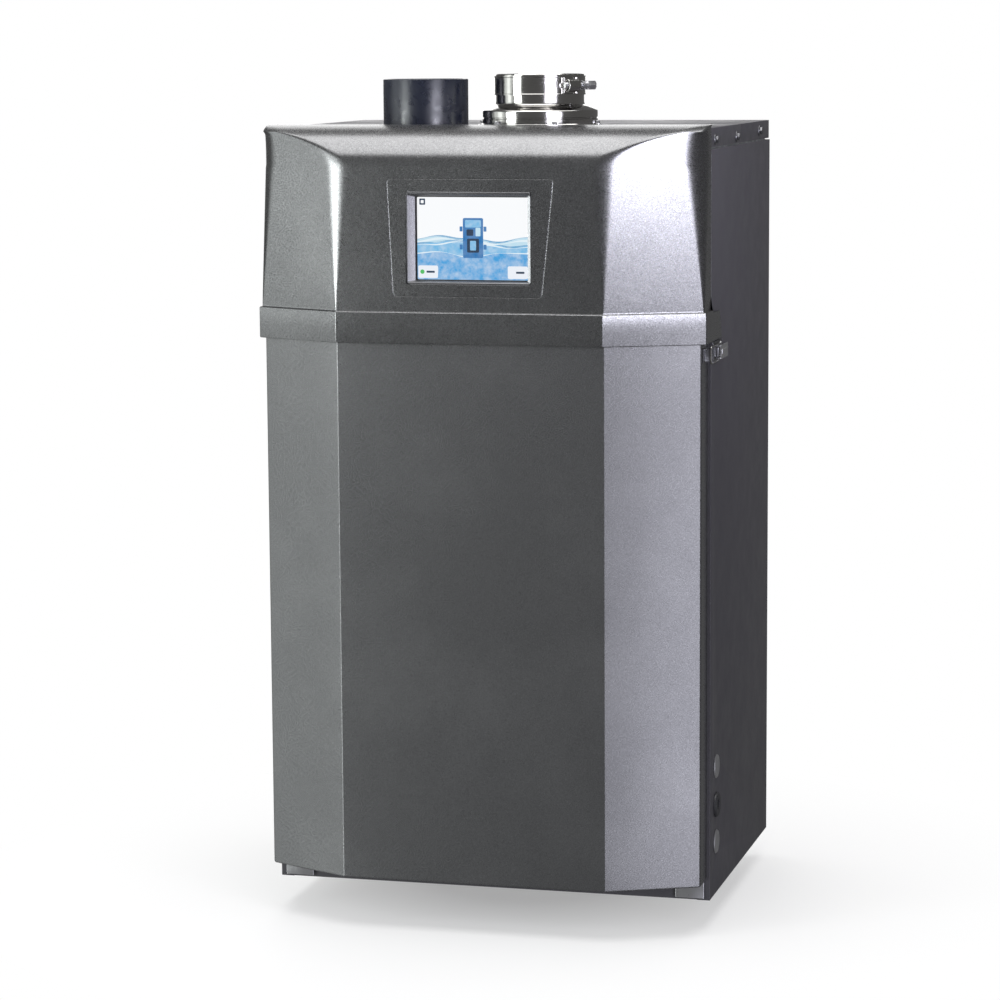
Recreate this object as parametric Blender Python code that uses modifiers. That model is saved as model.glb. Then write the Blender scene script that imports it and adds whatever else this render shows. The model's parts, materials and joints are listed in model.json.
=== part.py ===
"""Wall-hung gas pool heater: a sheet-metal cabinet with a moulded touch-screen hood, vent collars
and its inner works.

Frame: metres, +Z up, -Y is the front. The origin is the centre of the flat underside of the base pan.
"""

import math

import bmesh
import bpy
from mathutils import Matrix, Vector

# ---------------------------------------------------------------- driving dimensions
MM = 0.001
WIDTH = 0.464
DEPTH = 0.330
HEIGHT = 0.792
SHEET = 1.5 * MM
THIN_SHEET = 1.2 * MM
GAP = 0.3 * MM

SIDE_X = WIDTH / 2
FRONT_Y = -DEPTH / 2
WALL_Y = DEPTH / 2
BACK_PANEL_Y = WALL_Y - 12 * MM
SIDE_TOP_Z = HEIGHT - 21 * MM
TOP_SEAM_Y = FRONT_Y + 0.163

# The door: a three-facet sheet cover below, a moulded hood above, tipping on the rest tabs.
COVER_HALF = 0.229
COVER_FLANGE = 0.034
FACET_DEPTH = 0.0427
RIDGE_HALF = 0.1385
COVER_BOTTOM_Z = 0.022
COVER_TOP_Z = 0.604
COVER_LIP_Y = FRONT_Y - 7 * MM
COVER_FRONT_Y = FRONT_Y - COVER_FLANGE - FACET_DEPTH
FACET_SLOPE = FACET_DEPTH / (COVER_HALF - RIDGE_HALF)
REST_REACH = 13 * MM
DOOR_AXIS_Y = FRONT_Y - REST_REACH
DOOR_AXIS_Z = COVER_BOTTOM_Z

BAND_BOTTOM_Z = 0.578
BAND_TOP_Z = 0.610
BAND_OFFSET = 5.6 * MM
HOOD_OFFSET = 2.6 * MM
HOOD_WALL = 2.0 * MM
HOOD_TOP_Z = HEIGHT + 3.2 * MM
HOOD_ROLL_Z = 0.752
HOOD_LEAN = 4 * MM
HOOD_REAR_GAP = 2 * MM

DISPLAY_Z = 0.6843
DISPLAY_OPENING = (0.1294, 0.0930)
DISPLAY_VISIBLE = (0.1172, 0.0847)
BEZEL_FRONT_Y = COVER_FRONT_Y - 0.8 * MM
BEZEL_DEPTH = 9 * MM

# Vents on the top plate: nominal 3 inch pipe.
VENT_Y = FRONT_Y + 0.085
INTAKE_X = -0.0888
EXHAUST_X = 0.0341
PIPE_3IN_R = 0.0889 / 2
EXHAUST_NECK_R = 0.0459
EXHAUST_TOP_Z = HEIGHT + 0.0533
INTAKE_TOP_Z = HEIGHT + 0.0485
CLAMP_Z = HEIGHT + 0.0418
CLAMP_HEIGHT = 0.0195
CLAMP_AZIMUTH = math.radians(-35)
CLAMP_SCREW_R = 3.2 * MM
CLAMP_SCREW_AXIS_R = EXHAUST_NECK_R + 5.3 * MM

# The draw latch on the right side, just under the hood's ear.
LATCH_Z = 0.5665
LATCH_PIVOT = (SIDE_X + 4.2 * MM, FRONT_Y + 12 * MM)
LATCH_BAIL_PIVOT = (SIDE_X + 5.1 * MM, FRONT_Y + 21 * MM)
BAIL_FRONT_Y = FRONT_Y - 27 * MM
BAIL_WIRE_R = 0.9 * MM
BAIL_HALF = 8.3 * MM
LEVER_HALF = 7 * MM

# Combustion train.
HX_X, HX_Y = 0.020, 0.055
HX_R = 0.088
HX_BOTTOM_Z, HX_TOP_Z = 0.130, 0.560
BLOWER_X, BLOWER_Y = -0.120, 0.040
BLOWER_R = 0.066
BLOWER_BOTTOM_Z, BLOWER_TOP_Z = 0.590, 0.640
VENTURI_TOP_Z = 0.684
GAS_X, GAS_Y = -0.214, 0.035

# Water side: 28.6 mm tube.
WATER_R = 14.3 * MM
STUB_END_Z = -0.030
TRAP_END_Z = -0.012
SUPPLY_X, RETURN_X, WATER_Y = -0.185, -0.130, 0.100
SUPPLY_PORT_Z, RETURN_PORT_Z = 0.505, 0.180
HX_PORT_X = -0.085
RELIEF_Z = 0.430
RELIEF_LEVER_AXIS = (SUPPLY_X, 0.024, RELIEF_Z + 19 * MM)

TRAP_X, TRAP_Y = -0.060, -0.070
CONTROL_X, CONTROL_Y, CONTROL_Z = (0.128, 0.222), (-0.150, -0.045), (0.170, 0.520)
KNOCKOUT_R = 11.1 * MM
KNOCKOUT_Y = FRONT_Y + 0.031
KNOCKOUT_Z = {"upper": 0.135, "middle": 0.0945, "lower": 0.0555}

MATERIALS = {
    "cabinet_paint": ((0.055, 0.053, 0.062), 0.45, 0.3),
    "cover_paint": ((0.17, 0.17, 0.18), 0.35, 0.6),
    "hood_plastic": ((0.16, 0.16, 0.165), 0.35, 0.6),
    "bezel_plastic": ((0.25, 0.25, 0.26), 0.3, 0.5),
    "display_glass": ((0.30, 0.55, 0.75), 0.1, 0.0),
    "circuit_board": ((0.03, 0.16, 0.07), 0.5, 0.0),
    "pvc_black": ((0.02, 0.02, 0.025), 0.35, 0.0),
    "stainless": ((0.60, 0.59, 0.57), 0.22, 1.0),
    "zinc_steel": ((0.62, 0.62, 0.63), 0.35, 1.0),
    "galvanised": ((0.55, 0.56, 0.57), 0.45, 1.0),
    "rubber": ((0.02, 0.02, 0.02), 0.85, 0.0),
    "cast_aluminium": ((0.60, 0.60, 0.61), 0.5, 1.0),
    "brass": ((0.62, 0.45, 0.18), 0.35, 1.0),
    "copper": ((0.72, 0.36, 0.22), 0.3, 1.0),
    "black_plastic": ((0.03, 0.03, 0.032), 0.5, 0.0),
    "grey_plastic": ((0.42, 0.43, 0.44), 0.5, 0.0),
    "ceramic": ((0.85, 0.83, 0.78), 0.5, 0.0),
    "relief_red": ((0.55, 0.04, 0.03), 0.45, 0.0),
    "gas_paint": ((0.55, 0.38, 0.05), 0.45, 0.0),
}


# ---------------------------------------------------------------- scene and shape helpers
def clear_scene():
    for obj in list(bpy.data.objects):
        bpy.data.objects.remove(obj)


def new_collection(name):
    made = bpy.data.collections.new(name)
    bpy.context.scene.collection.children.link(made)
    return made


def material(name):
    found = bpy.data.materials.get(name)
    if found:
        return found
    colour, roughness, metallic = MATERIALS[name]
    made = bpy.data.materials.new(name)
    made.use_nodes = True
    shader = made.node_tree.nodes["Principled BSDF"]
    shader.inputs["Base Color"].default_value = (*colour, 1.0)
    shader.inputs["Roughness"].default_value = roughness
    shader.inputs["Metallic"].default_value = metallic
    return made


def place(obj, slot=None, location=(0, 0, 0), rotation=None, parent=None):
    """Puts a new object in the heater's collection, or with no slot among the cutters."""
    (PARTS if slot else CUTTERS).objects.link(obj)
    if slot:
        obj.data.materials.append(material(slot))
    else:
        obj.hide_render = True
        obj.display_type = "WIRE"
    obj.matrix_world = Matrix.Translation(location) @ (rotation or Matrix.Identity(4))
    if parent:
        bpy.context.view_layer.update()
        world = obj.matrix_world.copy()
        obj.parent = parent
        obj.matrix_parent_inverse = parent.matrix_world.inverted()
        obj.matrix_world = world
    return obj


def mesh_object(name, bm):
    mesh = bpy.data.meshes.new(name)
    bmesh.ops.recalc_face_normals(bm, faces=bm.faces)
    bm.to_mesh(mesh)
    bm.free()
    return bpy.data.objects.new(name, mesh)


def smooth(obj, degrees=35):
    obj.data.shade_smooth()
    obj.data.set_sharp_from_angle(angle=math.radians(degrees))
    return obj


def block(name, x, y, z, slot=None, origin=(0, 0, 0), parent=None):
    """A box between the given (low, high) pairs, its object's origin at origin."""
    low, high = Vector((x[0], y[0], z[0])), Vector((x[1], y[1], z[1]))
    bm = bmesh.new()
    bmesh.ops.create_cube(bm, size=1.0)
    bmesh.ops.scale(bm, vec=high - low, verts=bm.verts)
    bmesh.ops.translate(bm, vec=(low + high) / 2 - Vector(origin), verts=bm.verts)
    return place(mesh_object(name, bm), slot, origin, parent=parent)


def rod(name, radius, start, end, slot=None, segments=24, parent=None):
    """A solid cylinder from start to end, its origin at start."""
    start, end = Vector(start), Vector(end)
    length = (end - start).length
    bm = bmesh.new()
    bmesh.ops.create_cone(
        bm, cap_ends=True, segments=segments, radius1=radius, radius2=radius, depth=length
    )
    bmesh.ops.translate(bm, vec=(0, 0, length / 2), verts=bm.verts)
    turn = (end - start).to_track_quat("Z", "Y").to_matrix().to_4x4()
    return place(smooth(mesh_object(name, bm)), slot, start, turn, parent)


def turned(name, profile, slot, location, steps=40, rotation=None, closed=True, parent=None):
    """(radius, height) points spun about Z. A closed profile is a ring; an open one ends on the axis."""
    mesh = bpy.data.meshes.new(name)
    count = len(profile)
    edges = [(i, (i + 1) % count) for i in range(count if closed else count - 1)]
    mesh.from_pydata([(r, 0, z) for r, z in profile], edges, [])
    obj = bpy.data.objects.new(name, mesh)
    spin = obj.modifiers.new("spin", "SCREW")
    spin.steps = spin.render_steps = steps
    spin.use_merge_vertices = True
    spin.merge_threshold = 1e-5
    spin.use_smooth_shade = False
    return place(obj, slot, location, rotation, parent)


def solidify(obj, thickness, offset=-1.0):
    thick = obj.modifiers.new("wall", "SOLIDIFY")
    thick.thickness = thickness
    thick.offset = offset
    thick.use_even_offset = True
    return obj


def sheet_strip(name, outline, z, slot, thickness=SHEET, floor=False, parent=None, origin=(0, 0, 0)):
    """A folded sheet: an open outline of (x, y) points raised from z[0] to z[1], with an optional floor."""
    bm = bmesh.new()
    shift = Vector(origin)
    low = [bm.verts.new(Vector((px, py, z[0])) - shift) for px, py in outline]
    high = [bm.verts.new(Vector((px, py, z[1])) - shift) for px, py in outline]
    for i in range(len(outline) - 1):
        bm.faces.new((low[i], low[i + 1], high[i + 1], high[i]))
    if floor:
        bm.faces.new(list(reversed(low)))
    obj = place(mesh_object_raw(name, bm), slot, origin, parent=parent)
    return solidify(obj, thickness)


def mesh_object_raw(name, bm):
    """Like mesh_object, for an open surface whose face winding is already right."""
    mesh = bpy.data.meshes.new(name)
    bm.to_mesh(mesh)
    bm.free()
    return bpy.data.objects.new(name, mesh)


def open_tray(name, low, high, slot, leave_out, thickness=SHEET):
    """A box of sheet between two corners, without the sides named in leave_out, such as '+Z'."""
    bm = bmesh.new()
    bmesh.ops.create_cube(bm, size=1.0)
    size = Vector(high) - Vector(low)
    bmesh.ops.scale(bm, vec=size, verts=bm.verts)
    bmesh.ops.translate(bm, vec=(Vector(low) + Vector(high)) / 2, verts=bm.verts)
    bm.normal_update()
    gone = []
    for face in bm.faces:
        axis = max(range(3), key=lambda k: abs(face.normal[k]))
        side = ("+" if face.normal[axis] > 0 else "-") + "XYZ"[axis]
        if side in leave_out:
            gone.append(face)
    bmesh.ops.delete(bm, geom=gone, context="FACES")
    return solidify(place(mesh_object_raw(name, bm), slot), thickness)


def bent_path(points, bend, steps=5):
    """Points along straight runs joined by arcs of radius bend."""
    points = [Vector(p) for p in points]
    path = [points[0]]
    for before, corner, after in zip(points, points[1:], points[2:]):
        a, b = (before - corner).normalized(), (after - corner).normalized()
        angle = a.angle(b)
        reach = bend / math.tan(angle / 2)
        centre = corner + (a + b).normalized() * (bend / math.sin(angle / 2))
        first = (corner + a * reach - centre).normalized()
        last = (corner + b * reach - centre).normalized()
        for i in range(steps + 1):
            path.append(centre + first.slerp(last, i / steps) * bend)
    path.append(points[-1])
    return path


def tube(name, radius, points, slot, bend=0.03, wall=None, sides=4, parent=None):
    """A round bar along a bent path, or with a wall thickness an open-ended pipe."""
    curve = bpy.data.curves.new(name, "CURVE")
    curve.dimensions = "3D"
    curve.bevel_depth = radius
    curve.bevel_resolution = sides
    curve.use_fill_caps = wall is None
    path = bent_path(points, bend)
    spline = curve.splines.new("POLY")
    spline.points.add(len(path) - 1)
    for point, at in zip(spline.points, path):
        point.co = (*at, 1.0)
    obj = place(bpy.data.objects.new(name, curve), slot, parent=parent)
    if wall:
        solidify(obj, wall)
    return obj


def boolean(obj, cutter, operation="DIFFERENCE"):
    cut = obj.modifiers.new(operation.lower(), "BOOLEAN")
    cut.operation = operation
    cut.object = cutter
    return obj


def drill(obj, name, radius, start, end, segments=32):
    return boolean(obj, rod(name, radius, start, end, segments=segments))


def pivot(name, location):
    """An empty on a joint's axis, which its moving pieces are parented to."""
    empty = bpy.data.objects.new(name, None)
    PARTS.objects.link(empty)
    empty.location = location
    bpy.context.view_layer.update()
    return empty


def trapezoid_plate(name, outline, x, slot=None, parent=None):
    """A flat plate with an outline of (y, z) points, between two x positions."""
    bm = bmesh.new()
    face = bm.faces.new([bm.verts.new((x[0], y, z)) for y, z in outline])
    grown = bmesh.ops.extrude_face_region(bm, geom=[face])
    moved = [v for v in grown["geom"] if isinstance(v, bmesh.types.BMVert)]
    bmesh.ops.translate(bm, vec=(x[1] - x[0], 0, 0), verts=moved)
    return place(mesh_object(name, bm), slot, parent=parent)


# ---------------------------------------------------------------- cabinet
def base_pan():
    pan = open_tray(
        "base_pan",
        (-SIDE_X + 2.2 * MM, FRONT_Y + 1.8 * MM, 0),
        (SIDE_X - 2.2 * MM, BACK_PANEL_Y - 2 * MM, 36 * MM),
        "cabinet_paint",
        ["+Z"],
    )
    passages = {
        "supply": (SUPPLY_X, WATER_Y, WATER_R),
        "return": (RETURN_X, WATER_Y, WATER_R),
        "gas": (GAS_X, GAS_Y, 9 * MM),
        "condensate": (TRAP_X, TRAP_Y, 11 * MM),
    }
    for name, (x, y, radius) in passages.items():
        drill(pan, f"cut_base_{name}", radius + 1.5 * MM, (x, y, -0.01), (x, y, 0.01), 24)


def side_panel(side, name):
    x = side * SIDE_X
    flange = 14 * MM
    plan = [(x - side * flange, FRONT_Y), (x, FRONT_Y), (x, WALL_Y), (x - side * flange, WALL_Y)]
    panel = sheet_strip(name, plan if side > 0 else plan[::-1], (0, SIDE_TOP_Z), "cabinet_paint")
    if side > 0:
        for level, z in KNOCKOUT_Z.items():
            drill(
                panel,
                f"cut_knockout_{level}",
                KNOCKOUT_R,
                (0.2, KNOCKOUT_Y, z),
                (0.25, KNOCKOUT_Y, z),
                24,
            )


def back_panel():
    half, deep = SIDE_X - 2.1 * MM, BACK_PANEL_Y + 10 * MM
    plan = [(-half, deep), (-half, BACK_PANEL_Y), (half, BACK_PANEL_Y), (half, deep)]
    sheet_strip("back_panel", plan, (2 * MM, SIDE_TOP_Z), "galvanised")


def upper_frame():
    """The ring of folded sheet that the side panels and the top plates are screwed to."""
    half, front, back = SIDE_X - 2.8 * MM, FRONT_Y + 2 * MM, BACK_PANEL_Y - 2.1 * MM
    bm = bmesh.new()
    corners = [(half, front), (half, back), (-half, back), (-half, front)]
    low = [bm.verts.new((x, y, 0.740)) for x, y in corners]
    high = [bm.verts.new((x, y, HEIGHT - 2.5 * MM)) for x, y in corners]
    for i in range(4):
        j = (i + 1) % 4
        bm.faces.new((low[i], low[j], high[j], high[i]))
    solidify(place(mesh_object_raw("upper_frame", bm), "galvanised"), SHEET)


def top_plates():
    half, flange_z = SIDE_X - 1 * MM, SIDE_TOP_Z + 1.5 * MM
    front = open_tray(
        "top_front_plate",
        (-half, FRONT_Y, flange_z),
        (half, TOP_SEAM_Y - GAP, HEIGHT),
        "cabinet_paint",
        ["-Z", "+Y"],
        THIN_SHEET,
    )
    drill(
        front,
        "cut_intake",
        PIPE_3IN_R + 0.8 * MM,
        (INTAKE_X, VENT_Y, 0.77),
        (INTAKE_X, VENT_Y, 0.81),
        40,
    )
    drill(front, "cut_exhaust", 42 * MM, (EXHAUST_X, VENT_Y, 0.77), (EXHAUST_X, VENT_Y, 0.81), 40)
    open_tray(
        "top_rear_plate",
        (-half, TOP_SEAM_Y + GAP, flange_z),
        (half, WALL_Y, HEIGHT),
        "cabinet_paint",
        ["-Z", "-Y"],
        THIN_SHEET,
    )


def wall_mounting():
    """A folded cleat on the cabinet's back, and the bracket on the wall that it hangs on."""
    half = 0.190

    def cleat(name, profile):
        bm = bmesh.new()
        left = [bm.verts.new((-half, y, z)) for y, z in profile]
        right = [bm.verts.new((half, y, z)) for y, z in profile]
        for i in range(len(profile) - 1):
            bm.faces.new((left[i], left[i + 1], right[i + 1], right[i]))
        return solidify(place(mesh_object_raw(name, bm), "galvanised"), SHEET, 0.0)

    y = BACK_PANEL_Y
    cleat(
        "hanging_rail",
        [(y + 2.6 * MM, 0.735), (y + 2.6 * MM, 0.712), (y + 8.8 * MM, 0.706), (y + 8.8 * MM, 0.686)],
    )
    bracket = cleat(
        "wall_bracket",
        [
            (WALL_Y - 0.75 * MM, 0.640),
            (WALL_Y - 0.75 * MM, 0.670),
            (y + 5.4 * MM, 0.681),
            (y + 5.4 * MM, 0.701),
        ],
    )
    for i, x in enumerate((-0.15, 0.0, 0.15)):
        drill(bracket, f"cut_wall_screw_{i}", 3.5 * MM, (x, 0.14, 0.655), (x, 0.18, 0.655), 16)


def door_rests():
    """The two steel tabs at the foot of the front that the door stands and tips on."""
    for side, name in ((1, "right"), (-1, "left")):
        inner, outer = side * 0.196, side * 0.226
        bm = bmesh.new()
        profile = [
            (FRONT_Y - GAP, 2 * MM),
            (FRONT_Y - GAP, COVER_BOTTOM_Z - 0.4 * MM),
            (DOOR_AXIS_Y, COVER_BOTTOM_Z - 0.4 * MM),
        ]
        a = [bm.verts.new((inner, y, z)) for y, z in profile]
        b = [bm.verts.new((outer, y, z)) for y, z in profile]
        for i in range(2):
            ring = (a[i], a[i + 1], b[i + 1], b[i])
            bm.faces.new(ring if side > 0 else ring[::-1])
        solidify(place(mesh_object_raw(f"door_rest_{name}", bm), "zinc_steel"), SHEET)


def door_gasket():
    outer_x, inner_x = 0.2285, 0.2195
    low, high, band = 0.024, 0.768, 9 * MM
    frame = block(
        "door_gasket", (-outer_x, outer_x), (FRONT_Y - 5.2 * MM, FRONT_Y - GAP), (low, high), "rubber"
    )
    hole = block(
        "cut_gasket", (-inner_x, inner_x), (FRONT_Y - 0.02, FRONT_Y + 0.02), (low + band, high - band)
    )
    boolean(frame, hole)


def hex_screw(name, at, direction, radius=4 * MM, slot="zinc_steel"):
    """A hex washer-head screw. The head's underside is at at, and the shank runs back along direction."""
    rotation = Vector(direction).to_track_quat("Z", "Y").to_matrix().to_4x4()
    washer = [(0, 1.2 * MM), (radius * 1.45, 1.2 * MM), (radius * 1.45, 0), (0, 0)]
    body = turned(name, washer, slot, at, 24, rotation, closed=False)
    head = rod(
        f"join_{name}",
        radius,
        Vector(at) + Vector(direction) * 1 * MM,
        Vector(at) + Vector(direction) * 4.2 * MM,
        segments=6,
    )
    return boolean(body, head, "UNION")


def top_screws():
    x = SIDE_X - 1 * MM + GAP
    for name, y, z in (("front", -0.143, 0.780), ("middle", -0.027, 0.7795), ("rear", 0.105, 0.782)):
        hex_screw(f"top_screw_{name}", (x, y, z), (1, 0, 0))


def cable_entries():
    """Two knockout plugs and one cord bush in the row of round knockouts low on the right side."""
    rotation = Matrix.Rotation(math.pi / 2, 4, "Y")
    plug = [
        (0, 2.2 * MM),
        (KNOCKOUT_R + 0.6 * MM, 1.4 * MM),
        (KNOCKOUT_R + 1.4 * MM, GAP),
        (KNOCKOUT_R - GAP, GAP),
        (KNOCKOUT_R - GAP, -5 * MM),
        (0, -5 * MM),
    ]
    for level in ("upper", "lower"):
        at = (SIDE_X, KNOCKOUT_Y, KNOCKOUT_Z[level])
        turned(f"knockout_plug_{level}", plug, "zinc_steel", at, 28, rotation, closed=False)
    bush = [
        (KNOCKOUT_R + 1.2 * MM, 3 * MM),
        (KNOCKOUT_R + 1.8 * MM, GAP),
        (KNOCKOUT_R - GAP, GAP),
        (KNOCKOUT_R - GAP, -14 * MM),
        (6 * MM, -14 * MM),
        (6 * MM, 3 * MM),
    ]
    turned("cord_bush", bush, "black_plastic", (SIDE_X, KNOCKOUT_Y, KNOCKOUT_Z["middle"]), 28, rotation)


# ---------------------------------------------------------------- vents
def intake_collar():
    outer, bore = PIPE_3IN_R, PIPE_3IN_R - 5.5 * MM
    profile = [
        (outer, INTAKE_TOP_Z),
        (outer, HEIGHT - 2 * MM),
        (outer + 10 * MM, HEIGHT - 2 * MM),
        (outer + 10 * MM, HEIGHT - 5.5 * MM),
        (outer, HEIGHT - 5.5 * MM),
        (outer, 0.760),
        (bore, 0.760),
        (bore, INTAKE_TOP_Z),
    ]
    turned("intake_collar", profile, "pvc_black", (INTAKE_X, VENT_Y, 0), 48)


def exhaust_vent():
    neck, ring, flange = EXHAUST_NECK_R, 60 * MM, 64 * MM
    wall, spigot = 1.3 * MM, 40.5 * MM
    adapter = [
        (neck, EXHAUST_TOP_Z),
        (neck, HEIGHT + 21.5 * MM),
        (ring, HEIGHT + 14 * MM),
        (ring, HEIGHT + 2 * MM),
        (flange, HEIGHT + 2 * MM),
        (flange, HEIGHT + GAP),
        (spigot, HEIGHT + GAP),
        (spigot, 0.770),
        (spigot - wall, 0.770),
        (spigot - wall, HEIGHT + 15 * MM),
        (neck - wall, HEIGHT + 22.5 * MM),
        (neck - wall, EXHAUST_TOP_Z),
    ]
    at = (EXHAUST_X, VENT_Y, 0)
    turned("exhaust_adapter", adapter, "stainless", at, 48)
    inner = neck - wall - GAP
    lip = [
        (inner, EXHAUST_TOP_Z - 6 * MM),
        (inner, EXHAUST_TOP_Z - 14 * MM),
        (inner - 1.2 * MM, EXHAUST_TOP_Z - 14 * MM),
        (inner - 2.2 * MM, EXHAUST_TOP_Z - 10 * MM),
        (inner - 1.2 * MM, EXHAUST_TOP_Z - 6 * MM),
    ]
    turned("exhaust_seal", lip, "rubber", at, 36)


def exhaust_clamp():
    """A worm-drive band round the neck. The worm turns in its housing, along a tangent of the band."""
    inner = EXHAUST_NECK_R + GAP
    low, high = CLAMP_Z - CLAMP_HEIGHT / 2, CLAMP_Z + CLAMP_HEIGHT / 2
    ring = [(inner + 0.9 * MM, high), (inner + 0.9 * MM, low), (inner, low), (inner, high)]
    band = turned("clamp_band", ring, "stainless", (EXHAUST_X, VENT_Y, 0), 48)
    outward = Vector((math.cos(CLAMP_AZIMUTH), math.sin(CLAMP_AZIMUTH), 0))
    along = Vector((-outward.y, outward.x, 0))
    centre = Vector((EXHAUST_X, VENT_Y, CLAMP_Z)) + outward * CLAMP_SCREW_AXIS_R
    turn = Matrix((along, outward, Vector((0, 0, 1)))).transposed().to_4x4()

    saddle = block(
        "join_clamp_housing", (-8 * MM, 8 * MM), (-4.6 * MM, 4.8 * MM), (-6.5 * MM, 6.5 * MM)
    )
    saddle.matrix_world = Matrix.Translation(centre) @ turn
    boolean(band, saddle, "UNION")
    drill(band, "cut_worm", CLAMP_SCREW_R + 0.5 * MM, centre - along * 0.02, centre + along * 0.02, 16)

    head, collar, shank = 5.2 * MM, CLAMP_SCREW_R + 1.6 * MM, CLAMP_SCREW_R
    worm = [
        (0, 30 * MM), (head - 1 * MM, 30 * MM), (head, 28.5 * MM), (head, 20 * MM), (shank, 18.5 * MM)
    ]
    worm += [(shank, 13.5 * MM), (collar, 13.5 * MM), (collar, 11.8 * MM), (shank, 11.8 * MM)]
    worm += [(shank, -11 * MM), (0, -11 * MM)]
    rotation = along.to_track_quat("Z", "Y").to_matrix().to_4x4()
    turned("clamp_screw", worm, "zinc_steel", centre, 12, rotation, closed=False)


# ---------------------------------------------------------------- door
def cover_plan():
    """Half of the cover's plan outline, from the middle to the rear lip."""
    return [
        (0, COVER_FRONT_Y),
        (RIDGE_HALF, COVER_FRONT_Y),
        (COVER_HALF, FRONT_Y - COVER_FLANGE),
        (COVER_HALF, COVER_LIP_Y),
        (COVER_HALF - 16 * MM, COVER_LIP_Y),
    ]


def front_cover(door):
    half = cover_plan()
    plan = [(-x, y) for x, y in reversed(half[1:])] + half[1:]
    sheet_strip(
        "front_cover",
        plan,
        (COVER_BOTTOM_Z, COVER_TOP_Z),
        "cover_paint",
        THIN_SHEET,
        floor=True,
        parent=door,
        origin=(0, DOOR_AXIS_Y, DOOR_AXIS_Z),
    )


def fillet(before, corner, after, radius, steps):
    """Points of the arc that rounds a plan corner, shrunk to fit its two sides."""
    a, b = (before - corner), (after - corner)
    half_angle = a.angle(b) / 2
    reach = min(radius / math.tan(half_angle), 0.45 * a.length, 0.45 * b.length)
    radius = reach * math.tan(half_angle)
    centre = corner + (a.normalized() + b.normalized()).normalized() * (radius / math.sin(half_angle))
    first, last = corner + a.normalized() * reach - centre, corner + b.normalized() * reach - centre
    sweep = first.angle_signed(last)
    turn = [Matrix.Rotation(-sweep * i / steps, 2) for i in range(steps + 1)]
    return [centre + t @ first for t in turn]


def hood_plan(z, inset=0.0, steps=3):
    """Half of the hood's plan outline at height z, from the middle to the rear edge of its side.

    The inside of the wall is the same outline, drawn in by inset.
    """
    top = HOOD_TOP_Z - inset
    rise = max(0.0, (z - BAND_TOP_Z) / (top - BAND_TOP_Z))
    in_band = z <= BAND_TOP_Z - inset
    offset = (BAND_OFFSET if in_band else HOOD_OFFSET) - inset
    wide = COVER_HALF + offset + (0 if in_band else 0.4 * MM)
    edge = COVER_FLANGE + offset * 0.5 - HOOD_LEAN * rise
    proud = COVER_FLANGE + FACET_DEPTH + offset - HOOD_LEAN * rise
    if z > HOOD_ROLL_Z:
        climb = (z - HOOD_ROLL_Z) / (top - HOOD_ROLL_Z)
        rest = HOOD_REAR_GAP + 2 * MM
        proud = rest + (proud - rest) * math.sqrt(max(0.0, 1 - climb**2.2))
        edge = min(edge, 0.75 * proud)
    ridge = wide - (proud - edge) / FACET_SLOPE
    middle = Vector((0, -proud))
    corner = Vector((ridge, -proud))
    shoulder = Vector((wide, -edge))
    rear = Vector((wide, -HOOD_REAR_GAP))
    outline = [middle]
    outline += fillet(middle, corner, shoulder, 4 * MM + 80 * MM * rise, steps)
    outline += fillet(corner, shoulder, rear, 3 * MM + 42 * MM * rise, steps)
    outline.append(rear)
    return [(p.x, FRONT_Y + p.y) for p in outline]


def hood_levels(inset, roll_steps=7):
    band, top = BAND_TOP_Z - inset, HOOD_TOP_Z - inset
    levels = [BAND_BOTTOM_Z, band, band + 0.02 * MM, 0.640, 0.680, 0.720, HOOD_ROLL_Z]
    for i in range(1, roll_steps + 1):
        levels.append(HOOD_ROLL_Z + (top - HOOD_ROLL_Z) * math.sin(math.pi / 2 * i / roll_steps))
    return levels


def hood_rows(bm, inset):
    """The rows of points of one face of the hood's wall, the last turned back over the top plate."""
    rows = []
    for z in hood_levels(inset):
        half = [Vector((x, y, z)) for x, y in hood_plan(z, inset)]
        full = [Vector((-p.x, p.y, p.z)) for p in reversed(half[1:])] + half
        rows.append([bm.verts.new(p) for p in full])
    left, count = rows[-1][0].co, len(rows[-1])
    spread = [left.x * (1 - 2 * j / (count - 1)) for j in range(count)]
    rows.append([bm.verts.new((x, FRONT_Y + 4 * MM, left.z)) for x in spread])
    return rows


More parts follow.
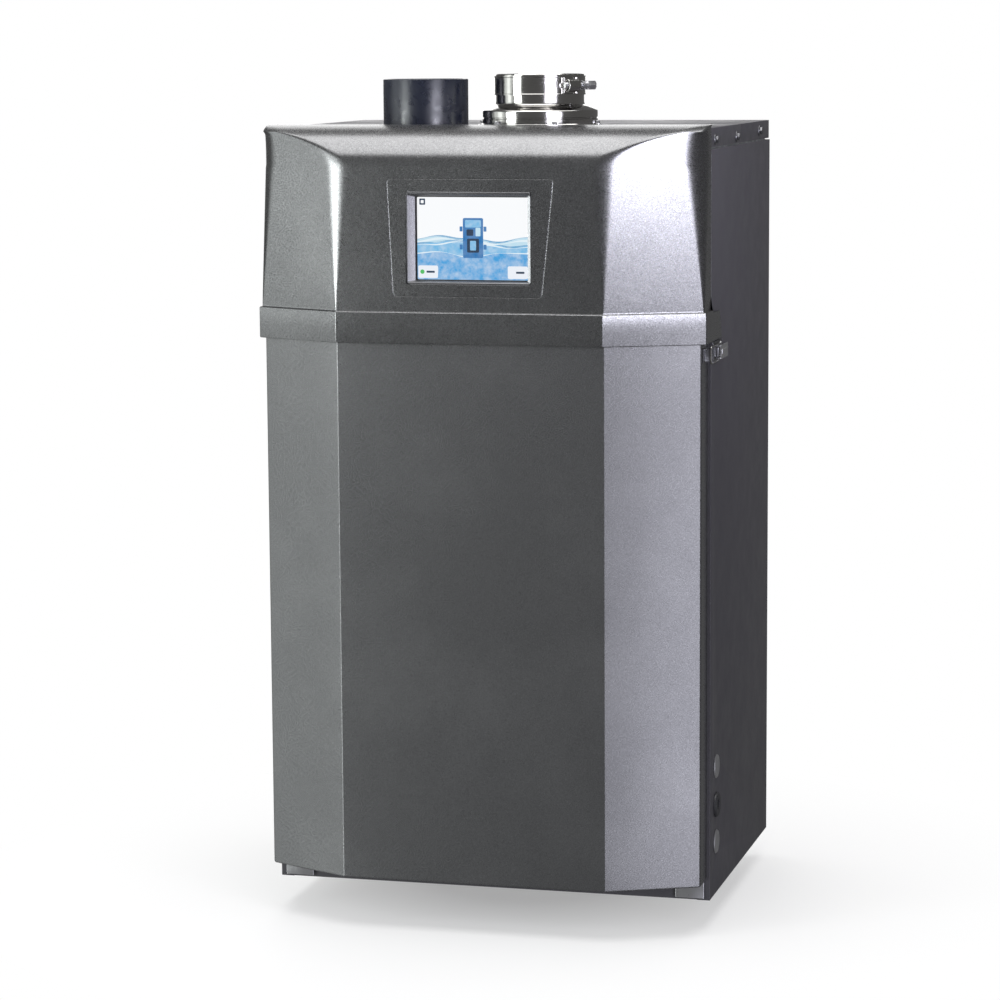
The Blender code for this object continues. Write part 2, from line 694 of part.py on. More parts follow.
def hood_shell(door):
    """The moulded hood: plan outlines lofted from the band up over the rolled top, inside and out."""
    bm = bmesh.new()
    outside, inside = hood_rows(bm, 0.0), hood_rows(bm, HOOD_WALL)
    for rows in (outside, inside):
        for lower, upper in zip(rows, rows[1:]):
            for j in range(len(lower) - 1):
                bm.faces.new((lower[j], lower[j + 1], upper[j + 1], upper[j]))
    for i in range(len(outside) - 1):
        for end in (0, -1):
            bm.faces.new((outside[i][end], outside[i + 1][end], inside[i + 1][end], inside[i][end]))
    for i in (0, -1):
        for j in range(len(outside[i]) - 1):
            bm.faces.new((outside[i][j], outside[i][j + 1], inside[i][j + 1], inside[i][j]))
    hood = smooth(place(mesh_object("hood_shell", bm), "hood_plastic", parent=door), 40)
    width, height = DISPLAY_OPENING
    window = block(
        "cut_display_window",
        (-width / 2, width / 2),
        (COVER_FRONT_Y - 0.03, COVER_FRONT_Y + 0.03),
        (DISPLAY_Z - height / 2, DISPLAY_Z + height / 2),
    )
    boolean(hood, window)
    for side, name in ((1, "right"), (-1, "left")):
        outline = [
            (FRONT_Y - 22 * MM, BAND_BOTTOM_Z + 1 * MM),
            (FRONT_Y + 44 * MM, BAND_BOTTOM_Z + 1 * MM),
            (FRONT_Y + 32 * MM, BAND_TOP_Z - 2.4 * MM),
            (FRONT_Y - 22 * MM, BAND_TOP_Z - 2.4 * MM),
        ]
        outer = side * (COVER_HALF + BAND_OFFSET - 0.1 * MM)
        ear = trapezoid_plate(f"join_ear_{name}", outline, (outer - side * 1.7 * MM, outer))
        boolean(hood, ear, "UNION")


def display(door):
    width, height = (s / 2 - GAP for s in DISPLAY_OPENING)
    depth = (BEZEL_FRONT_Y, BEZEL_FRONT_Y + BEZEL_DEPTH)
    z = (DISPLAY_Z - height, DISPLAY_Z + height)
    bezel = block("display_bezel", (-width, width), depth, z, "bezel_plastic", parent=door)
    bm = bmesh.new()
    # A four-sided frustum: the funnel that leads from the hood's face down to the glass.
    bmesh.ops.create_cone(bm, cap_ends=True, segments=4, radius1=1.0, radius2=1.0, depth=1.0)
    bmesh.ops.rotate(bm, matrix=Matrix.Rotation(math.pi / 4, 3, "Z"), verts=bm.verts)
    front_half = (width - 1 * MM, height - 1 * MM)
    back_half = (DISPLAY_VISIBLE[0] / 2, DISPLAY_VISIBLE[1] / 2)
    for v in bm.verts:
        near = v.co.z > 0
        half = front_half if near else back_half
        y = depth[0] - 0.02 * MM if near else depth[1] + 0.02 * MM
        v.co = Vector((math.copysign(half[0], v.co.x), y, DISPLAY_Z + math.copysign(half[1], v.co.y)))
    boolean(bezel, place(mesh_object("cut_bezel_funnel", bm)))

    glass_y = depth[1] + GAP
    block(
        "display_lens",
        (-0.064, 0.064),
        (glass_y, glass_y + 2 * MM),
        (DISPLAY_Z - 0.0475, DISPLAY_Z + 0.0475),
        "display_glass",
        parent=door,
    )
    board_y = glass_y + 2 * MM + GAP
    board = block(
        "display_board",
        (-0.067, 0.067),
        (board_y, board_y + 1.6 * MM),
        (DISPLAY_Z - 0.051, DISPLAY_Z + 0.051),
        "circuit_board",
        parent=door,
    )
    plug = block(
        "join_display_plug",
        (-0.02, 0.02),
        (board_y + 1 * MM, board_y + 6 * MM),
        (DISPLAY_Z - 0.045, DISPLAY_Z - 0.035),
    )
    boolean(board, plug, "UNION")
    back, half = board_y + 9 * MM, 0.110
    plan = [
        (-half, COVER_FRONT_Y + 4 * MM), (-half, back), (half, back), (half, COVER_FRONT_Y + 4 * MM)
    ]
    sheet_strip("display_bracket", plan[::-1], (0.588, 0.742), "galvanised", THIN_SHEET, parent=door)


# ---------------------------------------------------------------- latches
def latch(door):
    """The draw latch on the right: base and lever on the cabinet, keeper on the door, a bail between."""
    face = SIDE_X + GAP
    base = trapezoid_plate(
        "latch_base",
        [
            (FRONT_Y + 3 * MM, LATCH_Z - 11 * MM),
            (FRONT_Y + 58 * MM, LATCH_Z - 11 * MM),
            (FRONT_Y + 46 * MM, LATCH_Z + 11 * MM),
            (FRONT_Y + 3 * MM, LATCH_Z + 11 * MM),
        ],
        (face, face + 1 * MM),
        "cabinet_paint",
    )
    px, py = LATCH_PIVOT
    foot = block(
        "join_latch_foot",
        (face + 0.5 * MM, px),
        (py - 1.5 * MM, py + 1.5 * MM),
        (LATCH_Z - 5 * MM, LATCH_Z + 5 * MM),
    )
    boss = rod(
        "join_latch_boss",
        1.7 * MM,
        (px, py, LATCH_Z - 5 * MM),
        (px, py, LATCH_Z + 5 * MM),
        segments=12,
    )
    boolean(base, foot, "UNION")
    boolean(base, boss, "UNION")

    at = pivot("latch_axis", (px, py, LATCH_Z))
    plate_x = px + 2.3 * MM
    lever = block(
        "latch_lever",
        (plate_x, plate_x + 1 * MM),
        (py + 2 * MM, py + 38 * MM),
        (LATCH_Z - LEVER_HALF, LATCH_Z + LEVER_HALF),
        "zinc_steel",
        (px, py, LATCH_Z),
        at,
    )
    for end in (-1, 1):
        z = tuple(sorted((LATCH_Z + end * 5.5 * MM, LATCH_Z + end * 6.8 * MM)))
        cheek = block(
            f"join_cheek_{end + 1}",
            (px - 1.7 * MM, plate_x + 0.5 * MM),
            (py - 0.5 * MM, py + 16 * MM),
            z,
        )
        boolean(lever, cheek, "UNION")

    qx, qy = LATCH_BAIL_PIVOT
    legs = [
        (qx, qy, LATCH_Z - BAIL_HALF),
        (qx, BAIL_FRONT_Y, LATCH_Z - BAIL_HALF),
        (qx, BAIL_FRONT_Y, LATCH_Z + BAIL_HALF),
        (qx, qy, LATCH_Z + BAIL_HALF),
    ]
    hinge = pivot("bail_axis", (qx, qy, LATCH_Z))
    tube("latch_bail", BAIL_WIRE_R, legs, "stainless", bend=2.5 * MM, sides=2, parent=hinge)

    # The keeper's lip stands behind the bail's cross bar and stops just short of it sideways.
    out = COVER_HALF + GAP
    keeper = block(
        "latch_keeper",
        (out, out + 1.2 * MM),
        (BAIL_FRONT_Y - 4 * MM, BAIL_FRONT_Y + 14 * MM),
        (LATCH_Z - LEVER_HALF, LATCH_Z + LEVER_HALF),
        "zinc_steel",
        parent=door,
    )
    lip = block(
        "join_keeper_lip",
        (out + 0.5 * MM, qx - BAIL_WIRE_R - 0.4 * MM),
        (BAIL_FRONT_Y + 1.4 * MM, BAIL_FRONT_Y + 2.6 * MM),
        (LATCH_Z - 6 * MM, LATCH_Z + 6 * MM),
    )
    boolean(keeper, lip, "UNION")


# ---------------------------------------------------------------- combustion train
def heat_exchanger():
    wall, flange = 2 * MM, HX_R + 5 * MM
    shell = [
        (flange, HX_TOP_Z),
        (flange, HX_TOP_Z - 8 * MM),
        (HX_R, HX_TOP_Z - 8 * MM),
        (HX_R, HX_BOTTOM_Z),
        (HX_R - wall, HX_BOTTOM_Z),
        (HX_R - wall, HX_TOP_Z),
    ]
    body = turned("heat_exchanger", shell, "stainless", (HX_X, HX_Y, 0), 48)
    for name, z in (("supply", SUPPLY_PORT_Z), ("return", RETURN_PORT_Z)):
        port = rod(
            f"join_port_{name}",
            WATER_R + 3 * MM,
            (HX_PORT_X, WATER_Y, z),
            (HX_X - 50 * MM, WATER_Y, z),
            segments=20,
        )
        boolean(body, port, "UNION")
        drill(
            body,
            f"cut_port_{name}",
            WATER_R - 2 * MM,
            (HX_PORT_X - 0.01, WATER_Y, z),
            (HX_X - 45 * MM, WATER_Y, z),
            20,
        )


def fire_tubes():
    """Seven flue tubes between two tube sheets: hot gas inside them, pool water round them."""
    sheet_r, tube_r = HX_R - 3 * MM, 11 * MM
    low, high = HX_BOTTOM_Z + 2 * MM, 0.420
    bundle = rod(
        "fire_tube_bundle", sheet_r, (HX_X, HX_Y, low), (HX_X, HX_Y, low + 4 * MM), "stainless", 32
    )
    upper = rod(
        "join_upper_sheet", sheet_r, (HX_X, HX_Y, high), (HX_X, HX_Y, high + 4 * MM), segments=32
    )
    boolean(bundle, upper, "UNION")
    centres = [(0.0, 0.0)] + [
        (52 * MM * math.cos(a), 52 * MM * math.sin(a)) for a in (math.tau * i / 6 for i in range(6))
    ]
    for i, (dx, dy) in enumerate(centres):
        x, y = HX_X + dx, HX_Y + dy
        boolean(
            bundle,
            rod(f"join_tube_{i}", tube_r, (x, y, low + 1 * MM), (x, y, high + 3 * MM), segments=12),
            "UNION",
        )
    for i, (dx, dy) in enumerate(centres):
        x, y = HX_X + dx, HX_Y + dy
        drill(bundle, f"cut_tube_{i}", tube_r - 1.5 * MM, (x, y, low - 0.01), (x, y, high + 0.02), 12)


def burner():
    top, bottom = HX_TOP_Z + GAP, HX_TOP_Z + 16 * MM
    plate = [(92 * MM, bottom), (92 * MM, top), (0, top)]
    plate = [(0, bottom + 10 * MM), (24 * MM, bottom + 10 * MM), (30 * MM, bottom)] + plate
    turned("burner_door", plate, "cast_aluminium", (HX_X, HX_Y, 0), 40, closed=False)
    mesh_tube = [
        (35 * MM, HX_TOP_Z - 1 * MM),
        (35 * MM, 0.435),
        (0, 0.435),
        (0, 0.437),
        (33.5 * MM, 0.437),
        (33.5 * MM, HX_TOP_Z - 1 * MM),
    ]
    turned("burner_cylinder", mesh_tube, "stainless", (HX_X, HX_Y, 0), 32)
    ix, iy = HX_X + 62 * MM, HX_Y - 30 * MM
    stem = [
        (0, 0.628),
        (2.2 * MM, 0.628),
        (2.2 * MM, 0.608),
        (6 * MM, 0.604),
        (6 * MM, 0.581),
        (11 * MM, 0.581),
        (11 * MM, 0.5765),
        (0, 0.5765),
    ]
    turned("igniter", stem, "ceramic", (ix, iy, 0), 20, closed=False)


def blower():
    centre = (BLOWER_X, BLOWER_Y, 0)
    low, high = BLOWER_BOTTOM_Z, BLOWER_TOP_Z
    case = [
        (BLOWER_R, high - 4 * MM),
        (BLOWER_R, low + 4 * MM),
        (BLOWER_R - 4 * MM, low),
        (8 * MM, low),
        (8 * MM, low + 3 * MM),
        (BLOWER_R - 5 * MM, low + 3 * MM),
        (BLOWER_R - 3 * MM, low + 5 * MM),
        (BLOWER_R - 3 * MM, high - 5 * MM),
        (BLOWER_R - 5 * MM, high - 3 * MM),
        (26 * MM, high - 3 * MM),
        (26 * MM, high),
        (BLOWER_R - 4 * MM, high),
    ]
    housing = turned("blower_housing", case, "cast_aluminium", centre, 40)
    y = BLOWER_Y + 42 * MM
    outlet = block(
        "join_blower_outlet",
        (BLOWER_X + 30 * MM, HX_X + 3 * MM),
        (y - 20 * MM, y + 20 * MM),
        (low + 6 * MM, high - 6 * MM),
    )
    boolean(housing, outlet, "UNION")
    spout = rod(
        "join_blower_spout",
        18 * MM,
        (HX_X - 6 * MM, HX_Y + 10 * MM, HX_TOP_Z + 27 * MM),
        (HX_X - 6 * MM, HX_Y + 10 * MM, low + 12 * MM),
        segments=20,
    )
    boolean(housing, spout, "UNION")
    room = rod(
        "cut_blower_room",
        BLOWER_R - 3.2 * MM,
        (BLOWER_X, BLOWER_Y, low + 5.2 * MM),
        (BLOWER_X, BLOWER_Y, high - 5.2 * MM),
        segments=40,
    )
    boolean(housing, room)

    hub, rim = 7 * MM, 52 * MM
    wheel_low, wheel_high = low + 8 * MM, high - 9 * MM
    wheel = turned(
        "blower_impeller",
        [
            (0, wheel_low + 16 * MM),
            (hub, wheel_low + 12 * MM),
            (hub + 3 * MM, wheel_low + 2 * MM),
            (rim, wheel_low + 2 * MM),
            (rim, wheel_low),
            (0, wheel_low),
        ],
        "cast_aluminium",
        centre,
        32,
        closed=False,
    )
    blades = 12
    for i in range(blades):
        angle = math.tau * i / blades
        blade = block(
            f"join_blade_{i}",
            (24 * MM, 51 * MM),
            (-0.7 * MM, 0.7 * MM),
            (wheel_low + 1 * MM, wheel_high),
        )
        spoke = Matrix.Translation(centre) @ Matrix.Rotation(angle, 4, "Z")
        rake = Matrix.Translation((4 * MM, -9 * MM, 0)) @ Matrix.Rotation(-0.35, 4, "Z")
        blade.matrix_world = spoke @ rake
        boolean(wheel, blade, "UNION")

    motor = [
        (0, low - GAP),
        (34 * MM, low - GAP),
        (34 * MM, low - 30 * MM),
        (30 * MM, low - 34 * MM),
        (0, low - 34 * MM),
    ]
    turned("blower_motor", motor, "black_plastic", centre, 32, closed=False)


def gas_train():
    centre = (BLOWER_X, BLOWER_Y, 0)
    low, high = BLOWER_TOP_Z + GAP, VENTURI_TOP_Z
    throat = [
        (32 * MM, high),
        (32 * MM, high - 5 * MM),
        (24 * MM, high - 12 * MM),
        (24 * MM, low + 6 * MM),
        (34 * MM, low + 6 * MM),
        (34 * MM, low),
    ]
    throat += [(20 * MM, low), (16 * MM, low + 18 * MM), (28 * MM, high)]
    turned("venturi", throat, "cast_aluminium", centre, 32)

    body = block("gas_valve", (-0.226, -0.158), (0.003, 0.068), (0.6485, 0.688), "cast_aluminium")
    coil_low, coil_high = 0.687, 0.716
    coil = rod(
        "join_valve_coil", 15 * MM, (-0.180, 0.035, coil_low), (-0.180, 0.035, coil_high), segments=20
    )
    screw = rod(
        "join_valve_cap", 9 * MM, (-0.212, 0.035, coil_low), (-0.212, 0.035, 0.699), segments=16
    )
    nozzle = rod(
        "join_valve_nozzle",
        8 * MM,
        (-0.160, BLOWER_Y, 0.6645),
        (BLOWER_X - 24.6 * MM, BLOWER_Y, 0.6645),
        segments=16,
    )
    for piece in (coil, screw, nozzle):
        boolean(body, piece, "UNION")
    tube(
        "gas_pipe",
        9 * MM,
        [(GAS_X, GAS_Y, STUB_END_Z), (GAS_X, GAS_Y, 0.648)],
        "gas_paint",
        wall=1.5 * MM,
    )

    hose_z = 0.720
    path = [
        (INTAKE_X, VENT_Y, 0.768),
        (INTAKE_X, VENT_Y, hose_z),
        (BLOWER_X, BLOWER_Y, hose_z),
        (BLOWER_X, BLOWER_Y, VENTURI_TOP_Z + GAP),
    ]
    tube("intake_hose", 24 * MM, path, "black_plastic", bend=27 * MM, wall=2 * MM, sides=6)


def flue_path():
    low, high = 0.094, HX_BOTTOM_Z - GAP
    sump = rod("flue_sump", 90 * MM, (HX_X, HX_Y, low), (HX_X, HX_Y, high), "grey_plastic", 40)
    neck = block(
        "join_sump_neck",
        (EXHAUST_X - 32 * MM, EXHAUST_X + 32 * MM),
        (VENT_Y, HX_Y),
        (low + 1 * MM, high - 6 * MM),
    )
    socket = rod(
        "join_sump_socket",
        44 * MM,
        (EXHAUST_X, VENT_Y, low - 20 * MM),
        (EXHAUST_X, VENT_Y, high),
        segments=32,
    )
    drain = rod(
        "join_sump_drain",
        9 * MM,
        (TRAP_X + 10 * MM, TRAP_Y, low - 8 * MM),
        (EXHAUST_X - 30 * MM, VENT_Y, low - 8 * MM),
        segments=16,
    )
    for piece in (neck, socket, drain):
        boolean(sump, piece, "UNION")
    drill(
        sump,
        "cut_sump_bore",
        36 * MM,
        (EXHAUST_X, VENT_Y, low + 4 * MM),
        (EXHAUST_X, VENT_Y, high + 0.01),
        32,
    )
    riser = 38 * MM
    pipe = [
        (riser, 0.785), (riser, high + GAP), (riser - 2.5 * MM, high + GAP), (riser - 2.5 * MM, 0.785)
    ]
    turned("flue_riser", pipe, "grey_plastic", (EXHAUST_X, VENT_Y, 0), 40)

    cup = [
        (0, 0.070),
        (27 * MM, 0.070),
        (27 * MM, 0.030),
        (20 * MM, 0.018),
        (10 * MM, 0.014),
        (10 * MM, TRAP_END_Z),
    ]
    cup += [(7.5 * MM, TRAP_END_Z), (7.5 * MM, 0.020), (0, 0.020)]
    turned("condensate_trap", cup, "grey_plastic", (TRAP_X, TRAP_Y, 0), 28, closed=False)


# ---------------------------------------------------------------- water side
def water_pipes():
    for name, x, port_z in (
        ("supply_pipe", SUPPLY_X, SUPPLY_PORT_Z), ("return_pipe", RETURN_X, RETURN_PORT_Z)
    ):
        path = [(x, WATER_Y, STUB_END_Z), (x, WATER_Y, port_z), (HX_PORT_X - GAP, WATER_Y, port_z)]
        tube(name, WATER_R, path, "copper", bend=22 * MM, wall=1.6 * MM, sides=6)


def relief_valve():
    front = 0.028
    body = rod(
        "relief_valve",
        13 * MM,
        (SUPPLY_X, WATER_Y - WATER_R - GAP, RELIEF_Z),
        (SUPPLY_X, front, RELIEF_Z),
        "brass",
        20,
    )
    bonnet = rod(
        "join_relief_bonnet",
        10 * MM,
        (SUPPLY_X, front + 3 * MM, RELIEF_Z),
        (SUPPLY_X, front - 9 * MM, RELIEF_Z),
        segments=20,
    )
    outlet = rod(
        "join_relief_outlet",
        9 * MM,
        (SUPPLY_X, 0.055, RELIEF_Z),
        (SUPPLY_X, 0.055, RELIEF_Z - 30 * MM),
        segments=16,
    )
    ear = block(
        "join_relief_ear",
        (SUPPLY_X - 2 * MM, SUPPLY_X + 2 * MM),
        (0.0225, 0.0335),
        (RELIEF_Z + 5 * MM, RELIEF_Z + 20 * MM),
    )
    for piece in (bonnet, outlet, ear):
        boolean(body, piece, "UNION")
    x, y, z = RELIEF_LEVER_AXIS
    drill(
        body,
        "cut_relief_pin",
        2.1 * MM,
        (x - 0.01, y + 4 * MM, z - 3 * MM),
        (x + 0.01, y + 4 * MM, z - 3 * MM),
        12,
    )

    at = pivot("relief_lever_axis", (x, y + 4 * MM, z - 3 * MM))
    pin = rod(
        "relief_lever",
        1.7 * MM,
        (x - 5 * MM, y + 4 * MM, z - 3 * MM),
        (x + 5 * MM, y + 4 * MM, z - 3 * MM),
        "relief_red",
        12,
        at,
    )
    for side in (-1, 1):
        inner, outer = x + side * 2.6 * MM, x + side * 4.6 * MM
        strap = block(
            f"join_relief_strap_{side + 1}",
            tuple(sorted((inner, outer))),
            (y - 36 * MM, y + 6 * MM),
            (z - 5 * MM, z),
        )
        boolean(pin, strap, "UNION")
    tab = block(
        "join_relief_tab",
        (x - 4.6 * MM, x + 4.6 * MM),
        (y - 44 * MM, y - 8 * MM),
        (z - 1.5 * MM, z + 0.5 * MM),
    )
    boolean(pin, tab, "UNION")


def flow_switch():
    z = 0.112
    body = rod(
        "flow_switch",
        10 * MM,
        (RETURN_X, WATER_Y - WATER_R - GAP, z),
        (RETURN_X, 0.066, z),
        "black_plastic",
        16,
    )
    case = block(
        "join_switch_case",
        (RETURN_X - 17 * MM, RETURN_X + 17 * MM),
        (0.040, 0.070),
        (z - 20 * MM, z + 20 * MM),
    )
    boolean(body, case, "UNION")


# ---------------------------------------------------------------- electrics
def controls():
    (x0, x1), (y0, y1), (z0, z1) = CONTROL_X, CONTROL_Y, CONTROL_Z
    open_tray("control_box", (x0, y0, z0), (x1, y1, z1), "galvanised", ["-Y"])
    board_y = y0 + 32 * MM
    board = block(
        "control_board",
        (x0 + 6 * MM, x1 - 6 * MM),
        (board_y, board_y + 1.6 * MM),
        (z0 + 110 * MM, z1 - 10 * MM),
        "circuit_board",
    )
    relays = [
        (x0 + 14 * MM, z0 + 130 * MM), (x0 + 14 * MM, z0 + 160 * MM), (x0 + 14 * MM, z0 + 190 * MM)
    ]
    for i, (x, z) in enumerate(relays):
        relay = block(
            f"join_relay_{i}", (x, x + 22 * MM), (board_y - 15 * MM, board_y + 1 * MM), (z, z + 20 * MM)
        )
        boolean(board, relay, "UNION")
    core = block(
        "transformer",
        (x0 + 14 * MM, x1 - 14 * MM),
        (y0 + 20 * MM, y0 + 62 * MM),
        (z0 + 20 * MM, z0 + 84 * MM),
        "black_plastic",
    )
    coil = block(
        "join_transformer_coil",
        (x0 + 24 * MM, x1 - 24 * MM),
        (y0 + 12 * MM, y0 + 70 * MM),
        (z0 + 32 * MM, z0 + 72 * MM),
    )
    boolean(core, coil, "UNION")


def build():
    base_pan()
    side_panel(1, "right_side_panel")
    side_panel(-1, "left_side_panel")
    back_panel()
    upper_frame()
    top_plates()
    wall_mounting()
    door_rests()
    door_gasket()
    top_screws()
    cable_entries()
    intake_collar()
    exhaust_vent()
    exhaust_clamp()
    door = pivot("door_axis", (0, DOOR_AXIS_Y, DOOR_AXIS_Z))
    front_cover(door)
    hood_shell(door)
    display(door)
    latch(door)
    heat_exchanger()
    fire_tubes()
    burner()
    blower()
    gas_train()
    flue_path()
    water_pipes()
    relief_valve()
    flow_switch()
    controls()


clear_scene()
PARTS = new_collection("gas_pool_heater")
CUTTERS = new_collection("cutters")
build()
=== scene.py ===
"""The looks of the wall-hung gas pool heater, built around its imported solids."""

import json
import math

import bmesh
import bpy
from mathutils import Matrix, Vector

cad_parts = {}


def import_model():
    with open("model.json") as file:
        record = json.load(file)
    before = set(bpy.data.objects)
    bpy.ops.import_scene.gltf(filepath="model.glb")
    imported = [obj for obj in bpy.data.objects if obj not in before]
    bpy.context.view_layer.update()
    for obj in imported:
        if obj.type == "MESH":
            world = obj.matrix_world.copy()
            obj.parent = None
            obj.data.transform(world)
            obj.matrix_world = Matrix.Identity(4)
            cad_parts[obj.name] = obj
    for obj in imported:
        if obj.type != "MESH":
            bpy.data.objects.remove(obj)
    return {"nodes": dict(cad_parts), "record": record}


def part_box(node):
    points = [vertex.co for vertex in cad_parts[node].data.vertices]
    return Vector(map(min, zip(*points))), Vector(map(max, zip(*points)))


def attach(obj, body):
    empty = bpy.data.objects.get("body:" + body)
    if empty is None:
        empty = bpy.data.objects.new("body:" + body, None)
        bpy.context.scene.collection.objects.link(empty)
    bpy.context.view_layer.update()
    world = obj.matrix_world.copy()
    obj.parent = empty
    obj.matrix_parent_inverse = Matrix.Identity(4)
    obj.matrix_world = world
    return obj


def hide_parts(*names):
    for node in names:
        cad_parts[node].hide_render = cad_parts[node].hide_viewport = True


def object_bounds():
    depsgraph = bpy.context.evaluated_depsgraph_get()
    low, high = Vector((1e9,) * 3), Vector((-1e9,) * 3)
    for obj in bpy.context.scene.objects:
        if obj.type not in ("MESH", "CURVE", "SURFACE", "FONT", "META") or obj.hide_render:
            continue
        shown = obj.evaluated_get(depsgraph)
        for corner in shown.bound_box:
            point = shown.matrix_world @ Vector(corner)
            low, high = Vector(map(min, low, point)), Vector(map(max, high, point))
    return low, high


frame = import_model()
CAD_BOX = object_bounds()
MM = 0.001
SCENE = bpy.context.scene


def middle(node):
    low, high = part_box(node)
    return (low + high) / 2


# ---------------------------------------------------------------- shader helpers
def toned(colour, factor, lift=0.0):
    """A colour made darker or lighter, and kept within range."""
    return tuple(min(1.0, c * factor + lift) for c in colour)


class Shader:
    """One node material, built call by call. Coordinates are the object's own, in metres."""

    def __init__(self, name, colour=(0.5, 0.5, 0.5), roughness=0.5, metallic=0.0):
        self.material = bpy.data.materials.new(name)
        self.material.use_nodes = True
        self.tree = self.material.node_tree
        self.surface = self.tree.nodes["Principled BSDF"]
        self.place = self.add("ShaderNodeTexCoord").outputs["Object"]
        tilted = {"Vector": self.place, "Rotation": (0.65, 0.42, 0.31)}
        self.tilted = self.add("ShaderNodeMapping", tilted).outputs[0]
        self.set("Base Color", (*colour, 1.0))
        self.set("Roughness", roughness)
        self.set("Metallic", metallic)

    def add(self, kind, inputs=None, **settings):
        node = self.tree.nodes.new(kind)
        for key, value in settings.items():
            setattr(node, key, value)
        for key, value in (inputs or {}).items():
            self.plug(node.inputs[key], value)
        return node

    def plug(self, socket, value):
        if isinstance(value, bpy.types.NodeSocket):
            self.tree.links.new(value, socket)
        else:
            socket.default_value = value

    def set(self, key, value):
        self.plug(self.surface.inputs[key], value)

    def stretched(self, scale):
        return self.add("ShaderNodeMapping", {"Vector": self.place, "Scale": scale}).outputs[0]

    def noise(self, scale, detail=3.0, rough=0.55, vector=None):
        inputs = {"Vector": vector or self.tilted, "Scale": scale, "Detail": detail, "Roughness": rough}
        return self.add("ShaderNodeTexNoise", inputs).outputs["Fac"]

    def cells(self, scale, vector=None, output="Color", feature="F1"):
        inputs = {"Vector": vector or self.tilted, "Scale": scale}
        return self.add("ShaderNodeTexVoronoi", inputs, feature=feature).outputs[output]

    def math(self, operation, a, b=0.0, clamp=False):
        return self.add("ShaderNodeMath", {0: a, 1: b}, operation=operation, use_clamp=clamp).outputs[0]

    def vector(self, operation, a, b):
        return self.add("ShaderNodeVectorMath", {0: a, 1: b}, operation=operation).outputs[0]

    def span(self, value, low, high, to_low=0.0, to_high=1.0):
        inputs = {"Value": value, "From Min": low, "From Max": high, "To Min": to_low, "To Max": to_high}
        return self.add("ShaderNodeMapRange", inputs).outputs[0]

    def mix(self, factor, a, b):
        node = self.add("ShaderNodeMix", data_type="RGBA")
        for index, value in ((0, factor), (6, a), (7, b)):
            solid = isinstance(value, tuple) and len(value) == 3
            self.plug(node.inputs[index], (*value, 1.0) if solid else value)
        return node.outputs[2]

    def axis(self, index, vector=None):
        return self.add("ShaderNodeSeparateXYZ", {0: vector or self.place}).outputs[index]

    def bump(self, height, strength, distance, normal=None):
        inputs = {"Height": height, "Strength": strength, "Distance": distance}
        if normal:
            inputs["Normal"] = normal
        out = self.add("ShaderNodeBump", inputs).outputs[0]
        self.set("Normal", out)
        return out

    def worn_and_highlit_edges(self, colour, rubbed_and_lit, radius, amount=0.5):
        """Lightens the colour in patches where a bevelled normal parts from the true one, which is along
        edges: partly rubbed wear and partly a painted edge highlight.
        """
        soft = self.add("ShaderNodeBevel", {"Radius": radius}, samples=4).outputs[0]
        true = self.add("ShaderNodeNewGeometry").outputs["Normal"]
        dot = self.add("ShaderNodeVectorMath", {0: soft, 1: true}, operation="DOT_PRODUCT").outputs["Value"]
        edge = self.span(dot, 0.995, 0.85)
        patchy = self.math("MULTIPLY", edge, self.span(self.noise(260.0), 0.35, 0.7, 0.0, amount))
        return self.mix(patchy, colour, rubbed_and_lit)


def fleck_paint(name, dark, light, flake, texture, roughness, metallic):
    """Metallic paint or moulding: random flakes of brightness and tilt under a fine surface texture."""
    s = Shader(name, roughness=roughness, metallic=metallic)
    cell = s.cells(1.0 / (flake * MM))
    base = s.mix(s.axis(0, cell), dark, light)
    dusty = s.mix(s.span(s.noise(9.0, 5.0), 0.45, 0.8, 0.0, 0.05), base, (0.8, 0.8, 0.8))
    # Lighter edges: partly rubbed wear, partly a painted edge highlight.
    s.set("Base Color", s.worn_and_highlit_edges(dusty, toned(light, 1.9), 0.0007, 0.35))
    s.set("Roughness", s.span(s.axis(1, cell), 0.0, 1.0, roughness - 0.04, roughness + 0.07))
    skin = s.bump(s.noise(1.0 / (texture * MM), 2.0, 0.6), 0.08, texture * MM * 0.2)
    s.bump(s.axis(2, cell), 0.05, flake * MM * 0.3, skin)
    return s.material


def powder_coat(name, colour, roughness):
    """Satin powder coat: orange peel, a little dust, and lighter edges that are partly rubbed wear and
    partly a painted edge highlight.
    """
    s = Shader(name, roughness=roughness)
    peel = 1.6 * MM
    pale = toned(colour, 1.5)
    tone = s.mix(s.span(s.noise(14.0, 5.0), 0.4, 0.8, 0.0, 0.03), colour, pale)
    grain = s.mix(s.span(s.noise(1400.0, 2.0), 0.35, 0.65, 0.0, 0.22), tone, pale)
    # Lighter edges: partly rubbed wear, partly a painted edge highlight.
    s.set("Base Color", s.worn_and_highlit_edges(grain, toned(colour, 3, 0.03), 0.0008))
    s.set("Roughness", s.span(s.noise(30.0, 3.0), 0.3, 0.7, roughness - 0.06, roughness + 0.08))
    s.bump(s.noise(1.0 / peel, 1.0), 0.22, peel * 0.25)
    return s.material


def moulded(name, colour, roughness=0.5, grain=0.0005, tint=0.12, relief=0.2):
    s = Shader(name, roughness=roughness)
    tone = s.mix(s.span(s.noise(40.0, 4.0), 0.3, 0.7, 0.0, tint), colour, toned(colour, 1.6, 0.02))
    # Lighter edges: partly rubbed wear, partly a painted edge highlight.
    s.set("Base Color", s.worn_and_highlit_edges(tone, toned(colour, 1.7, 0.03), 0.0005, 0.4))
    s.set("Roughness", s.span(s.noise(90.0, 3.0), 0.3, 0.7, roughness - 0.08, roughness + 0.1))
    s.bump(s.noise(1.0 / grain, 2.0), relief, grain * 0.3)
    return s.material


